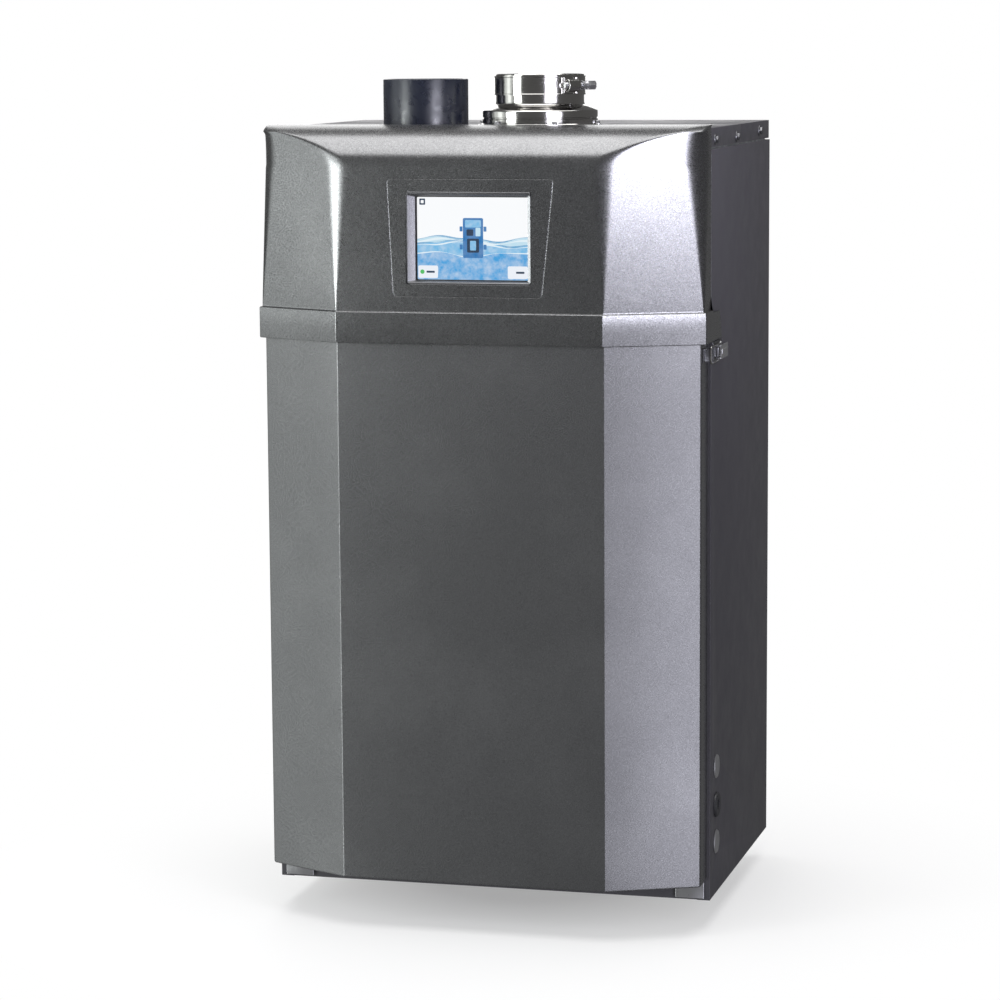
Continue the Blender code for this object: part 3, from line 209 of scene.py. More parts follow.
def brushed(name, colour, roughness, stretch):
    """Metal with fine drawn lines. stretch is the scale of the line noise along each axis, per metre."""
    s = Shader(name, roughness=roughness, metallic=1.0)
    lines = s.noise(1.0, 4.0, 0.7, s.stretched(stretch))
    blotch = s.span(s.noise(24.0, 4.0), 0.35, 0.7, 0.0, 0.1)
    darker = toned(colour, 0.55)
    s.set("Base Color", s.mix(blotch, s.mix(s.span(lines, 0.3, 0.7, 0.0, 0.35), colour, darker), darker))
    s.set("Roughness", s.span(lines, 0.25, 0.75, roughness - 0.06, roughness + 0.12))
    s.bump(lines, 0.35, 0.04 * MM)
    return s.material


def spun(name, colour, roughness, centre):
    """Polished metal turned on a lathe: lines that run round a vertical axis through centre."""
    s = Shader(name, roughness=roughness, metallic=1.0)
    local = s.vector("SUBTRACT", s.place, centre)
    flat = s.vector("MULTIPLY", local, (1.0, 1.0, 0.0))
    radius = s.add("ShaderNodeVectorMath", {0: flat}, operation="LENGTH").outputs["Value"]
    ring = s.add("ShaderNodeCombineXYZ", {0: radius, 2: s.axis(2)}).outputs[0]
    lines = s.noise(2600.0, 3.0, 0.7, ring)
    smudge = s.noise(60.0, 4.0, 0.6)
    s.set("Base Color", s.mix(s.span(smudge, 0.45, 0.75, 0.0, 0.35), colour, toned(colour, 0.6)))
    s.set("Roughness", s.span(smudge, 0.3, 0.8, roughness, roughness + 0.07))
    s.bump(lines, 0.08, 0.00003)
    return s.material


def galvanised(name):
    """Hot-dip zinc: flat crystals of slightly different brightness and gloss."""
    colour = (0.52, 0.54, 0.55)
    s = Shader(name, metallic=0.9)
    apart = s.math("MULTIPLY", s.add("ShaderNodeObjectInfo").outputs["Random"], 7.0)
    sheet = s.vector("ADD", s.place, apart)
    jumble = s.vector("ADD", sheet, s.cells(30.0, sheet))
    crystal = s.cells(95.0, jumble)
    shade = s.axis(0, crystal)
    s.set("Base Color", s.mix(shade, toned(colour, 0.72), toned(colour, 1.2)))
    s.set("Roughness", s.span(s.axis(1, crystal), 0.0, 1.0, 0.34, 0.55))
    s.bump(s.noise(900.0, 2.0), 0.15, 0.00008)
    return s.material


def cast(name):
    """Sand- or die-cast aluminium: pebbled skin, darker in the pores."""
    colour, roughness = (0.50, 0.50, 0.51), 0.48
    s = Shader(name, roughness=roughness, metallic=0.85)
    pits = s.noise(1500.0, 3.0, 0.65)
    skin = s.mix(s.span(pits, 0.35, 0.6), toned(colour, 0.62), colour)
    # Lighter edges: partly rubbed wear, partly a painted edge highlight.
    s.set("Base Color", s.worn_and_highlit_edges(skin, (0.8, 0.8, 0.8), 0.0006, 0.6))
    s.set("Roughness", s.span(s.noise(50.0), 0.3, 0.7, roughness - 0.08, roughness + 0.1))
    s.bump(pits, 0.5, 0.00012)
    return s.material


def tarnished(name, colour, stain, roughness=0.32):
    s = Shader(name, roughness=roughness, metallic=1.0)
    patches = s.span(s.noise(34.0, 6.0, 0.65), 0.42, 0.72)
    s.set("Base Color", s.mix(patches, colour, stain))
    s.set("Roughness", s.span(patches, 0.0, 1.0, roughness, roughness + 0.25))
    s.bump(s.noise(800.0, 3.0), 0.15, 0.00005)
    return s.material


def rubber(name, colour=(0.018, 0.018, 0.019), pores=0.0004):
    s = Shader(name, roughness=0.85)
    dust = s.span(s.noise(70.0, 5.0), 0.45, 0.8, 0.0, 0.35)
    s.set("Base Color", s.mix(dust, colour, (0.09, 0.09, 0.088)))
    s.bump(s.cells(1.0 / pores, output="Distance"), 0.35, pores * 0.4)
    return s.material


def circuit(name):
    """Solder mask over copper tracks, with tinned pads."""
    s = Shader(name, roughness=0.35)
    bricks = {"Vector": s.stretched((160.0, 1.0, 160.0)), "Scale": 1.0}
    grid = s.add("ShaderNodeTexBrick", bricks).outputs["Fac"]
    tracks = s.span(s.cells(230.0, output="Distance", feature="DISTANCE_TO_EDGE"), 0.03, 0.06)
    green = s.mix(tracks, (0.05, 0.27, 0.10), (0.012, 0.10, 0.035))
    pads = s.span(s.cells(420.0, output="Distance"), 0.16, 0.22)
    bare = s.math("MULTIPLY", s.math("SUBTRACT", 1.0, pads), grid)
    s.set("Base Color", s.mix(bare, green, (0.75, 0.74, 0.70)))
    s.bump(tracks, 0.2, 0.0001)
    return s.material


def lit(name, colour, strength=1.0, variation=0.0):
    """A backlit area of the touch screen, with the panel's fine pixel rows."""
    s = Shader(name, colour=(0.01, 0.01, 0.012), roughness=0.12)
    rows = s.span(s.math("SINE", s.math("MULTIPLY", s.axis(2), 9000.0)), -1.0, 1.0, 0.96, 1.0)
    tone = s.mix(s.span(s.noise(150.0, 3.0), 0.3, 0.7, 0.0, variation), colour, (1.0, 1.0, 1.0))
    s.set("Emission Color", tone)
    s.set("Emission Strength", s.math("MULTIPLY", rows, strength))
    return s.material


def cloth_wrap(name, colour):
    """Foil-faced glass wool, with painted shade along the foil's crease lines."""
    s = Shader(name, roughness=0.38, metallic=0.8)
    crease_shade = s.cells(140.0, output="Distance", feature="DISTANCE_TO_EDGE")
    # Painted shade: the foil is darker along its crease lines.
    s.set("Base Color", s.mix(s.span(crease_shade, 0.0, 0.12), toned(colour, 0.7), colour))
    s.bump(s.noise(180.0, 4.0), 0.7, 0.0006)
    return s.material


MATERIALS = (
    ("cabinet_paint", powder_coat, (0.054, 0.052, 0.058), 0.46),
    ("cover_paint", fleck_paint, (0.130, 0.130, 0.132), (0.166, 0.166, 0.169), 0.6, 2.3, 0.29, 0.80),
    ("hood_plastic", fleck_paint, (0.105, 0.105, 0.107), (0.180, 0.180, 0.183), 0.7, 0.9, 0.27, 0.92),
    ("bezel_plastic", fleck_paint, (0.10, 0.10, 0.105), (0.15, 0.15, 0.155), 0.4, 0.6, 0.30, 0.85),
    ("circuit_board", circuit),
    ("pvc_black", moulded, (0.009, 0.011, 0.020), 0.30, 0.0043, 0.02, 0.006),
    ("stainless", spun, (0.43, 0.42, 0.405), 0.10, tuple(middle("exhaust_adapter"))),
    ("zinc_steel", brushed, (0.66, 0.66, 0.68), 0.3, (500.0, 500.0, 60.0)),
    ("dark_zinc", brushed, (0.20, 0.20, 0.21), 0.36, (400.0, 400.0, 400.0)),
    ("galvanised", galvanised), ("rubber", rubber), ("cast_aluminium", cast),
    ("brass", tarnished, (0.66, 0.46, 0.17), (0.35, 0.23, 0.09)),
    ("copper", tarnished, (0.74, 0.37, 0.22), (0.34, 0.15, 0.09), 0.28),
    ("black_plastic", moulded, (0.022, 0.022, 0.024), 0.5),
    ("grey_plastic", moulded, (0.33, 0.34, 0.35), 0.5),
    ("ceramic", moulded, (0.78, 0.76, 0.70), 0.25, 0.0012),
    ("relief_red", moulded, (0.46, 0.03, 0.025), 0.4, 0.0008),
    ("gas_paint", powder_coat, (0.60, 0.38, 0.03), 0.4),
    ("display_glass", lit, (0.96, 0.97, 1.0), 0.9),
    ("terminal_green", moulded, (0.03, 0.28, 0.12), 0.4),
    ("foam", rubber, (0.030, 0.030, 0.032), 0.0022),
    ("label", brushed, (0.70, 0.70, 0.69), 0.42, (60.0, 60.0, 1500.0))
)
LOOKS = {name: make(name, *values) for name, make, *values in MATERIALS}

SCREEN_INKS = (
    ("sky", (0.97, 0.985, 1.0), 0.98, 0.04), ("water_far", (0.56, 0.80, 0.93), 0.92, 0.15),
    ("crest", (0.10, 0.38, 0.66), 0.9, 0.3), ("foam", (0.80, 0.92, 0.98), 0.95, 0.05),
    ("water_mid", (0.14, 0.50, 0.84), 0.9, 0.35), ("water_near", (0.06, 0.38, 0.78), 0.9, 0.45),
    ("button", (0.88, 0.92, 0.98), 0.95, 0.05), ("ink", (0.02, 0.05, 0.10), 0.8, 0.02),
    ("ink_blue", (0.02, 0.20, 0.52), 0.85, 0.12), ("green", (0.08, 0.55, 0.12), 0.9, 0.05)
)
SCREEN = {name: lit(f"screen_{name}", *values) for name, *values in SCREEN_INKS}


# ---------------------------------------------------------------- mesh helpers
def mm(*points, at=(0, 0, 0)):
    """Points given in millimetres from a place given in metres."""
    return [tuple(start + v * MM for start, v in zip(at, point)) for point in points]


def pointing(direction):
    """The turn that takes the z axis to a direction."""
    return Vector(direction).to_track_quat("Z", "Y").to_matrix().to_4x4()


def join(bm, loops):
    """Four-sided faces between each closed loop of points and the next."""
    for a, b in zip(loops, loops[1:]):
        for i in range(len(a)):
            j = (i + 1) % len(a)
            bm.faces.new((a[i], a[j], b[j], b[i]))


def sheet_faces(bm, rows):
    """Four-sided faces between each open row of points and the next."""
    for a, b in zip(rows, rows[1:]):
        for j in range(len(a) - 1):
            bm.faces.new((a[j], a[j + 1], b[j + 1], b[j]))


def piece(name, bm, slot, body="cabinet", stands_for=None, bevel=0.0, angle=35, segments=2, look=None):
    """Makes a bmesh into a smooth-shaded piece that rides on a body, and may stand for a CAD node."""
    mesh = bpy.data.meshes.new(name)
    bmesh.ops.remove_doubles(bm, verts=bm.verts, dist=1e-7)
    bmesh.ops.recalc_face_normals(bm, faces=bm.faces)
    bm.to_mesh(mesh)
    bm.free()
    obj = bpy.data.objects.new(name, mesh)
    SCENE.collection.objects.link(obj)
    mesh.materials.append(look or LOOKS[slot])
    mesh.shade_smooth()
    mesh.set_sharp_from_angle(angle=math.radians(angle))
    if bevel:
        rounding(obj, bevel, segments, angle)
    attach(obj, body)
    if stands_for:
        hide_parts(stands_for)
    return obj


def turned(name, profile, at, steps, slot, turn=None, closed=True, **rest):
    """A piece made of one lathe profile."""
    bm = bmesh.new()
    add_lathe(bm, profile, at, steps, turn, closed)
    return piece(name, bm, slot, **rest)


def rounding(obj, width, segments=2, angle=35):
    edge = obj.modifiers.new("edges", "BEVEL")
    edge.width = width
    edge.segments = segments
    edge.limit_method = "ANGLE"
    edge.angle_limit = math.radians(angle)
    edge.harden_normals = True


def add_box(bm, low, high, turn=None):
    low, high = Vector(low), Vector(high)
    made = bmesh.ops.create_cube(bm, size=1.0)["verts"]
    bmesh.ops.scale(bm, vec=high - low, verts=made)
    bmesh.ops.translate(bm, vec=(low + high) / 2, verts=made)
    if turn:
        bmesh.ops.transform(bm, matrix=turn, verts=made)
    return made


def add_lathe(bm, profile, at=(0, 0, 0), steps=96, turn=None, closed=True):
    """Spins (radius, height) points about Z. A closed profile is a ring; an open one ends on the axis."""
    placed = Matrix.Translation(Vector(at)) @ (turn or Matrix.Identity(4))
    rings = []
    for r, h in profile:
        if r < 1e-7:
            rings.append([bm.verts.new(placed @ Vector((0, 0, h)))])
            continue
        circle = (math.tau * i / steps for i in range(steps))
        rings.append([bm.verts.new(placed @ Vector((r * math.cos(a), r * math.sin(a), h))) for a in circle])
    pairs = list(zip(rings, rings[1:]))
    if closed:
        pairs.append((rings[-1], rings[0]))
    for a, b in pairs:
        for i in range(steps):
            j = (i + 1) % steps
            corners = [a[i % len(a)], a[j % len(a)], b[j % len(b)], b[i % len(b)]]
            unique = list(dict.fromkeys(corners))
            if len(unique) > 2:
                bm.faces.new(unique)


def add_prism(bm, outline, frame_at, depth):
    """A flat outline of (u, v) points on a frame (origin, u axis, v axis), pushed back along u x v."""
    origin, u, v = (Vector(p) for p in frame_at)
    back = u.cross(v).normalized() * depth
    front = [bm.verts.new(origin + u * a + v * b) for a, b in outline]
    rear = [bm.verts.new(p.co - back) for p in front]
    bm.faces.new(front)
    bm.faces.new(rear[::-1])
    for i in range(len(front)):
        j = (i + 1) % len(front)
        bm.faces.new((front[i], rear[i], rear[j], front[j]))


def add_tube(bm, points, radius, sides=16):
    """A round bar along points, its cross-section carried along without twist."""
    points = [Vector(p) for p in points]
    rings = []
    normal = None
    for i, p in enumerate(points):
        ahead = (points[min(i + 1, len(points) - 1)] - points[max(i - 1, 0)]).normalized()
        if normal is None:
            normal = ahead.orthogonal().normalized()
        normal = (normal - ahead * normal.dot(ahead)).normalized()
        other = ahead.cross(normal)
        size = radius(i / (len(points) - 1)) if callable(radius) else radius
        turns = (math.tau * k / sides for k in range(sides))
        rings.append([bm.verts.new(p + (normal * math.cos(t) + other * math.sin(t)) * size) for t in turns])
    join(bm, rings)
    bm.faces.new(rings[0][::-1])
    bm.faces.new(rings[-1])


def rounded(points, radius, steps=6):
    """Bends a path's corners to arcs."""
    points = [Vector(p) for p in points]
    path = [points[0]]
    for before, corner, after in zip(points, points[1:], points[2:]):
        a, b = before - corner, after - corner
        half = a.angle(b) / 2
        reach = min(radius / math.tan(half), 0.49 * a.length, 0.49 * b.length)
        r = reach * math.tan(half)
        a, b = a.normalized(), b.normalized()
        centre = corner + (a + b).normalized() * (r / math.sin(half))
        first, last = (corner + a * reach - centre).normalized(), (corner + b * reach - centre).normalized()
        path += [centre + first.slerp(last, i / steps) * r for i in range(steps + 1)]
    return path + [points[-1]]


def rounded_rect(w, h, r, steps=5):
    out = []
    for quarter, (x, y) in enumerate(((1, 1), (-1, 1), (-1, -1), (1, -1))):
        for i in range(steps + 1):
            a = math.radians(90 * quarter + 90 * i / steps)
            out.append((x * (w / 2 - r) + r * math.cos(a), y * (h / 2 - r) + r * math.sin(a)))
    return out


def cut(obj, bm, angle=None):
    """Cuts a bmesh out of a piece for good, and marks its sharp edges again if given an angle."""
    mesh = bpy.data.meshes.new("cutter")
    bmesh.ops.recalc_face_normals(bm, faces=bm.faces)
    bm.to_mesh(mesh)
    bm.free()
    cutter = bpy.data.objects.new("cutter", mesh)
    SCENE.collection.objects.link(cutter)
    taken = obj.modifiers.new("cut", "BOOLEAN")
    taken.operation = "DIFFERENCE"
    taken.object = cutter
    bpy.context.view_layer.update()
    evaluated = obj.evaluated_get(bpy.context.evaluated_depsgraph_get())
    done = bpy.data.meshes.new_from_object(evaluated)
    obj.modifiers.clear()
    obj.data = done
    bpy.data.objects.remove(cutter)
    if angle:
        done.set_sharp_from_angle(angle=math.radians(angle))


# ---------------------------------------------------------------- fastenings
def around(centre, radius, count, start=0.0):
    """Points evenly round a vertical axis."""
    for k in range(count):
        a = math.radians(start) + math.tau * k / count
        yield Vector((centre[0] + radius * math.cos(a), centre[1] + radius * math.sin(a), centre[2]))


def add_screw(bm, at, direction, radius):
    """A hex washer-head screw: a dished washer with a chamfered six-sided head on it."""
    washer = ((0, -1.5), (1.35, -1.5), (1.45, 0.2), (1.38, 0.8), (1, 1.2), (0, 1.25))
    head = ((0, 1), (1, 1), (1, 3.4), (0.84, 3.95), (0.3, 4.1), (0, 3.7))
    for outline, sides in ((washer, 32), (head, 6)):
        profile = [(radius * wide, high * MM) for wide, high in outline]
        add_lathe(bm, profile, at, sides, pointing(direction), closed=False)


def screws(name, spots, direction, radius, bevel=0.15 * MM):
    """A set of like screws in one piece."""
    bm = bmesh.new()
    for spot in spots:
        add_screw(bm, spot, direction, radius)
    piece(name, bm, "zinc_steel", bevel=bevel)


def nut(bm, at, direction, across, height):
    """A hex nut on a washer, with a stud's end standing out of it."""
    turn = pointing(direction)
    r = across * 0.577
    washer = [(0, -0.4 * MM), (r * 1.3, -0.4 * MM), (r * 1.3, 0.8 * MM), (0, 0.8 * MM)]
    body = [(0, 0.5 * MM), (r, 0.5 * MM), (r, height - 0.6 * MM), (r * 0.86, height), (0, height)]
    low, high = height - 1 * MM, height + 2 * MM
    stud = [(0, low), (r * 0.5, low), (r * 0.5, high), (0, high + 0.3 * MM)]
    for profile, sides in ((washer, 28), (body, 6), (stud, 20)):
        add_lathe(bm, profile, at, sides, turn, closed=False)


def hose_clip(bm, at, radius, screw_turn, width=9 * MM):
    """A thin worm clip round a vertical hose, with its housing and screw."""
    turn = pointing((0, 0, 1)) @ Matrix.Rotation(screw_turn, 4, "Z")
    h = width / 2
    ring = [(radius, -h), (radius + 0.9 * MM, -h), (radius + 0.9 * MM, h), (radius, h)]
    add_lathe(bm, ring, at, 72, turn)
    placed = Matrix.Translation(Vector(at)) @ turn
    for low, high in (((-5, -0.5, -4), (5, 6.5, 4)), ((4.5, 0.9, -2.5), (11.5, 5.9, 2.5))):
        add_box(bm, *mm(low, high, at=(0, radius, 0)), placed)


# ---------------------------------------------------------------- hood
HOOD = {"front": -0.165, "half": 0.229, "flange": 0.034, "facet": 0.0427, "ridge": 0.1385}
HOOD_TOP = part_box("hood_shell")[1].z
BAND_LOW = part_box("hood_shell")[0].z
BAND_HIGH = BAND_LOW + 32 * MM
ROLL_Z = 0.752
LEAN = 4 * MM
SLOPE = HOOD["facet"] / (HOOD["half"] - HOOD["ridge"])


def corner_arc(before, corner, after, radius, steps):
    a, b = before - corner, after - corner
    half = a.angle(b) / 2
    reach = min(radius / math.tan(half), 0.45 * a.length, 0.45 * b.length)
    r = reach * math.tan(half)
    centre = corner + (a.normalized() + b.normalized()).normalized() * (r / math.sin(half))
    first, last = corner + a.normalized() * reach - centre, corner + b.normalized() * reach - centre
    sweep = first.angle_signed(last)
    return [centre + Matrix.Rotation(-sweep * i / steps, 2) @ first for i in range(steps + 1)]


def hood_row(z, offset, top):
    """Half of the hood's plan at height z, from the middle to its rear edge."""
    rise = max(0.0, (z - BAND_HIGH) / (top - BAND_HIGH))
    wide = HOOD["half"] + offset + 0.4 * MM * min(1.0, rise * 50)
    edge = HOOD["flange"] + offset * 0.5 - LEAN * rise
    proud = HOOD["flange"] + HOOD["facet"] + offset - LEAN * rise
    soft, hard = 2.5 * MM + 72 * MM * rise, 2 * MM + 41 * MM * rise
    if z > ROLL_Z:
        climb = min(1.0, (z - ROLL_Z) / (top - ROLL_Z))
        rest = 4 * MM
        proud = rest + (proud - rest) * math.sqrt(max(0.0, 1 - climb**2.2))
        edge = min(edge, 0.75 * proud)
        soft = soft * (1 - climb) ** 0.6 + 3 * MM
        hard = hard * (1 - climb) ** 0.25 + 3 * MM
    ridge = wide - (proud - edge) / SLOPE
    middle, a, b, rear = (Vector(p) for p in ((0, -proud), (ridge, -proud), (wide, -edge), (wide, -2 * MM)))
    row = [middle, middle.lerp(a, 0.25), middle.lerp(a, 0.5)]
    row += corner_arc(middle, a, b, soft, 14)
    row += corner_arc(a, b, b.lerp(rear, 1.9), hard, 14)
    row.append(rear)
    return [Vector((p.x, HOOD["front"] + p.y, z)) for p in row]


def hood_levels(inset):
    """(height, how far the wall stands proud of the cover) from the band's foot to the roll's top."""
    band, top = BAND_HIGH - inset, HOOD_TOP - inset
    if inset:
        out = [(BAND_LOW, 5.6), (band, 5.6), (band + 0.1 * MM, 2.6)]
    else:
        out = [(BAND_LOW, 5.0), (BAND_LOW + 0.5 * MM, 5.4), (BAND_LOW + 1.2 * MM, 5.6)]
        edge = ((-1.4, 5.6), (-0.7, 5.4), (-0.2, 4.9), (0, 4.3), (0.1, 3.4), (0.5, 2.8), (1.2, 2.6))
        out += [(band + rise * MM, proud) for rise, proud in edge]
    out += [(BAND_HIGH + 2 * MM + (ROLL_Z - BAND_HIGH) * (i / 12), 2.6) for i in range(12)]
    steps = 26
    out += [(ROLL_Z + (top - ROLL_Z) * math.sin(math.pi / 2 * i / steps), 2.6) for i in range(steps + 1)]
    return [(z, p * MM - inset) for z, p in out], top


def hood_skin(bm, inset):
    levels, top = hood_levels(inset)
    rows = []
    for z, offset in levels:
        half = hood_row(z, offset, top)
        mirrored = [Vector((-p.x, p.y, p.z)) for p in reversed(half[1:])]
        rows.append([bm.verts.new(p) for p in mirrored + half])
    last = rows[-1]
    spread = [last[0].co.x * (1 - 2 * j / (len(last) - 1)) for j in range(len(last))]
    rows.append([bm.verts.new((x, HOOD["front"] + 4 * MM, top)) for x in spread])
    sheet_faces(bm, rows)
    return rows


def face_y(z):
    """The hood's front face at height z, between the band and the roll."""
    rise = (z - BAND_HIGH) / (HOOD_TOP - BAND_HIGH)
    return HOOD["front"] - HOOD["flange"] - HOOD["facet"] - 2.6 * MM + LEAN * rise


def build_hood():
    bm = bmesh.new()
    outside, inside = hood_skin(bm, 0.0), hood_skin(bm, 2 * MM)
    for i in (0, -1):
        sheet_faces(bm, (outside[i], inside[i]))
    for end in (0, -1):
        strip(bm, [row[end] for row in outside], [row[end] for row in inside])
    hood = piece("hood", bm, "hood_plastic", "front_door", "hood_shell", angle=24)
    low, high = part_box("display_bezel")
    cutter = bmesh.new()
    size = (high.x - low.x + 0.6 * MM, high.z - low.z + 0.6 * MM)
    place = ((0, -0.27, (low.z + high.z) / 2), (1, 0, 0), (0, 0, 1))
    add_prism(cutter, rounded_rect(*size, 2.5 * MM), place, 0.06)
    cut(hood, cutter)
    groove = bmesh.new()
    corners = [(-0.0780, 0.6258), (-0.0843, 0.7435), (0.0875, 0.7435), (0.0757, 0.6258)]
    loop = [Vector((x, face_y(z) - 0.30 * MM, z)) for x, z in corners]
    loop = rounded([loop[0].lerp(loop[3], 0.5)] + loop + [loop[0].lerp(loop[3], 0.5)], 4 * MM, 5)
    add_tube(groove, loop[:-1] + [loop[0].lerp(loop[-2], 0.001)], 0.75 * MM, 20)
    cut(hood, groove, 24)
    build_ears()


def build_ears():
    """The band's returns along the cabinet's sides. The right one is over the latch."""
    y, low, high = HOOD["front"], 0.579, 0.6076
    shape = [(y - 24 * MM, low), (y + 44 * MM, low), (y + 32 * MM, high), (y - 24 * MM, high)]
    for side, name in ((1, "right"), (-1, "left")):
        place = ((side * (HOOD["half"] + 5.5 * MM), 0, 0), (0, 1, 0), (0, 0, 1))
        ear = bmesh.new()
        add_prism(ear, shape, place, side * 1.7 * MM)
        piece(f"hood_ear_{name}", ear, "hood_plastic", "front_door", bevel=0.5 * MM)


def strip(bm, a, b):
    """Faces between two rows of points of unlike length, advancing whichever row is behind."""
    i = j = 0
    while i < len(a) - 1 or j < len(b) - 1:
        if j == len(b) - 1 or (i < len(a) - 1 and i / (len(a) - 1) <= j / (len(b) - 1)):
            bm.faces.new((a[i], a[i + 1], b[j]))
            i += 1
        else:
            bm.faces.new((a[i], b[j + 1], b[j]))
            j += 1


# ---------------------------------------------------------------- front cover
def offset_path(path, distance):
    """An open path of (x, y) points moved sideways, to its left for a positive distance."""
    out = []
    for i, p in enumerate(path):
        before = (p - path[i - 1]).normalized() if i else None
        after = (path[i + 1] - p).normalized() if i < len(path) - 1 else None
        along = ((before or after) + (after or before)).normalized()
        half = along.dot(before or after)
        out.append(p + Vector((-along.y, along.x)) * (distance / max(half, 0.5)))
    return out


def bent(corners, radii):
    """A path of (x, y) corners, each turned to an arc of its own radius."""
    points = [Vector(c) for c in corners]
    path = [points[0]]
    for i, radius in enumerate(radii, 1):
        path += corner_arc(points[i - 1], points[i], points[i + 1], radius, 5)
    return path + [points[-1]]


def build_cover():
    """Three folded facets with a floor and rear lips, in one sheet with rounded bends."""
    low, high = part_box("front_cover")
    flange, lip = (high.x, HOOD["front"] - HOOD["flange"]), (high.x - 16 * MM, high.y)
    half = [(0, low.y), (HOOD["ridge"], low.y), flange, (high.x, high.y), lip]
    right = bent(half, (3 * MM, 3 * MM, 1.8 * MM))
    path = [Vector((-p.x, p.y)) for p in reversed(right[1:])] + right[1:]
    sheet = 1.2 * MM
    rows = mm((2.6, 0), (1.2, 0.35), (0.35, 1.2), (0, 2.6), at=(0, low.z))
    rows += [(0.0, low.z + (high.z - low.z) * k / 8) for k in range(1, 8)]
    rows += [(0.0, high.z - 0.3 * MM), (0.3 * MM, high.z), (sheet, high.z), (sheet, low.z + sheet)]
    bm = bmesh.new()
    skins = [[bm.verts.new((p.x, p.y, z)) for p in offset_path(path, inset)] for inset, z in rows]
    sheet_faces(bm, skins)
    bm.faces.new(skins[0])
    bm.faces.new(skins[-1])
    bm.faces.new((skins[0][0], skins[0][-1], skins[-1][-1], skins[-1][0]))
    for end in (0, -1):
        bm.faces.new([skin[end] for skin in skins])
    piece("cover", bm, "cover_paint", "front_door", "front_cover", angle=20)


# ---------------------------------------------------------------- display
def panel(name, outline, y, look):
    """A flat shape of (x, z) points on the display, lit from behind."""
    bm = bmesh.new()
    add_prism(bm, outline, ((0, y, 0), (1, 0, 0), (0, 0, 1)), 0.12 * MM)
    return piece(name, bm, "display_glass", "front_door", look=look)


def crest_line(left, right, crest, swells):
    """A rolling line from right to left."""
    count = 48
    line = []
    for i in range(count + 1):
        t = i / count
        rise = sum(size * math.sin(turns * math.tau * t + start) for size, turns, start in swells)
        line.append((right + (left - right) * t, crest + rise))
    return line


def wave(left, right, low, crest, swells):
    """Water filling the screen's foot up to a crest that rolls along x."""
    return [(left, low), (right, low)] + crest_line(left, right, crest, swells)


def ripple(left, right, crest, swells, thick):
    """A thin streak of water that swells and thins along a crest."""
    top = crest_line(left, right, crest, swells)
    under = [(x, z - thick * (0.25 + math.sin(x * 62 + crest * 900) ** 2)) for x, z in reversed(top)]
    return top + under


def build_bezel():
    low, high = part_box("display_bezel")
    front, back = low.y, high.y
    middle_z = (low.z + high.z) / 2
    window = (-0.0562, 0.0611, middle_z - 0.0430, middle_z + 0.0418)

    def loop(sides, out, radius, y, y_right=None):
        """A rounded frame, each side moved out by so many millimetres. y_right skews it in depth."""
        left, right, bottom, top = (edge + move * MM for edge, move in zip(sides, out))
        rise = ((y if y_right is None else y_right) - y) / (right - left)
        x, z = (left + right) / 2, (bottom + top) / 2
        flat = rounded_rect(right - left, top - bottom, radius * MM)
        return [Vector((u + x, y + rise * (u + (right - left) / 2), v + z)) for u, v in flat]

    outer = (low.x, high.x, low.z, high.z)
    trims = ((0.0, 0.0, back), (0.0, 0.0, front + 0.3 * MM), (0.15, 0.3, front), (0.2, 0.9, front))
    rings = [loop(outer, (d, -d, e, -e), 2.4, y) for d, e, y in trims]
    for g, y in ((0.3, front), (0.0, front + 0.3 * MM)):
        rings.append(loop(window, (-6.7 - g, 2.9 + g, -1.5 - g, 1.7 + g), 2.0, y))
    for depths in ((front + 4.4 * MM, front + 1.1 * MM), (back - 1.2 * MM,), (back,)):
        rings.append(loop(window, (0, 0, 0, 0), 0.8, *depths))
    bm = bmesh.new()
    verts = [[bm.verts.new(p) for p in ring] for ring in rings]
    join(bm, verts + verts[:1])
    piece("bezel", bm, "bezel_plastic", "front_door", "display_bezel", angle=18)
    build_surround(window, back - 1.0 * MM)
    return window


def build_surround(window, y):
    """The black mask round the lit area, and the soft seal in the gap between bezel and hood."""
    low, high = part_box("display_bezel")
    gap = 0.25 * MM
    seal = (low.x - gap, high.x + gap, low.z - gap, high.z + gap)
    frames = (
        ("screen_mask", window, 1.1 * MM, y, 0.9 * MM),
        ("bezel_seal", seal, 0.6 * MM, low.y + 1.2 * MM, 3 * MM)
    )
    for name, (x0, x1, z0, z1), band, front, deep in frames:
        bm = bmesh.new()
        loops = []
        for grow, at in ((0.0, front), (-band, front), (-band, front + deep), (0.0, front + deep)):
            flat = rounded_rect(x1 - x0 + 2 * grow, z1 - z0 + 2 * grow, 1.2 * MM)
            loops.append([bm.verts.new((u + (x0 + x1) / 2, at, v + (z0 + z1) / 2)) for u, v in flat])
        join(bm, loops + loops[:1])
        piece(name, bm, "black_plastic", "front_door", angle=30)


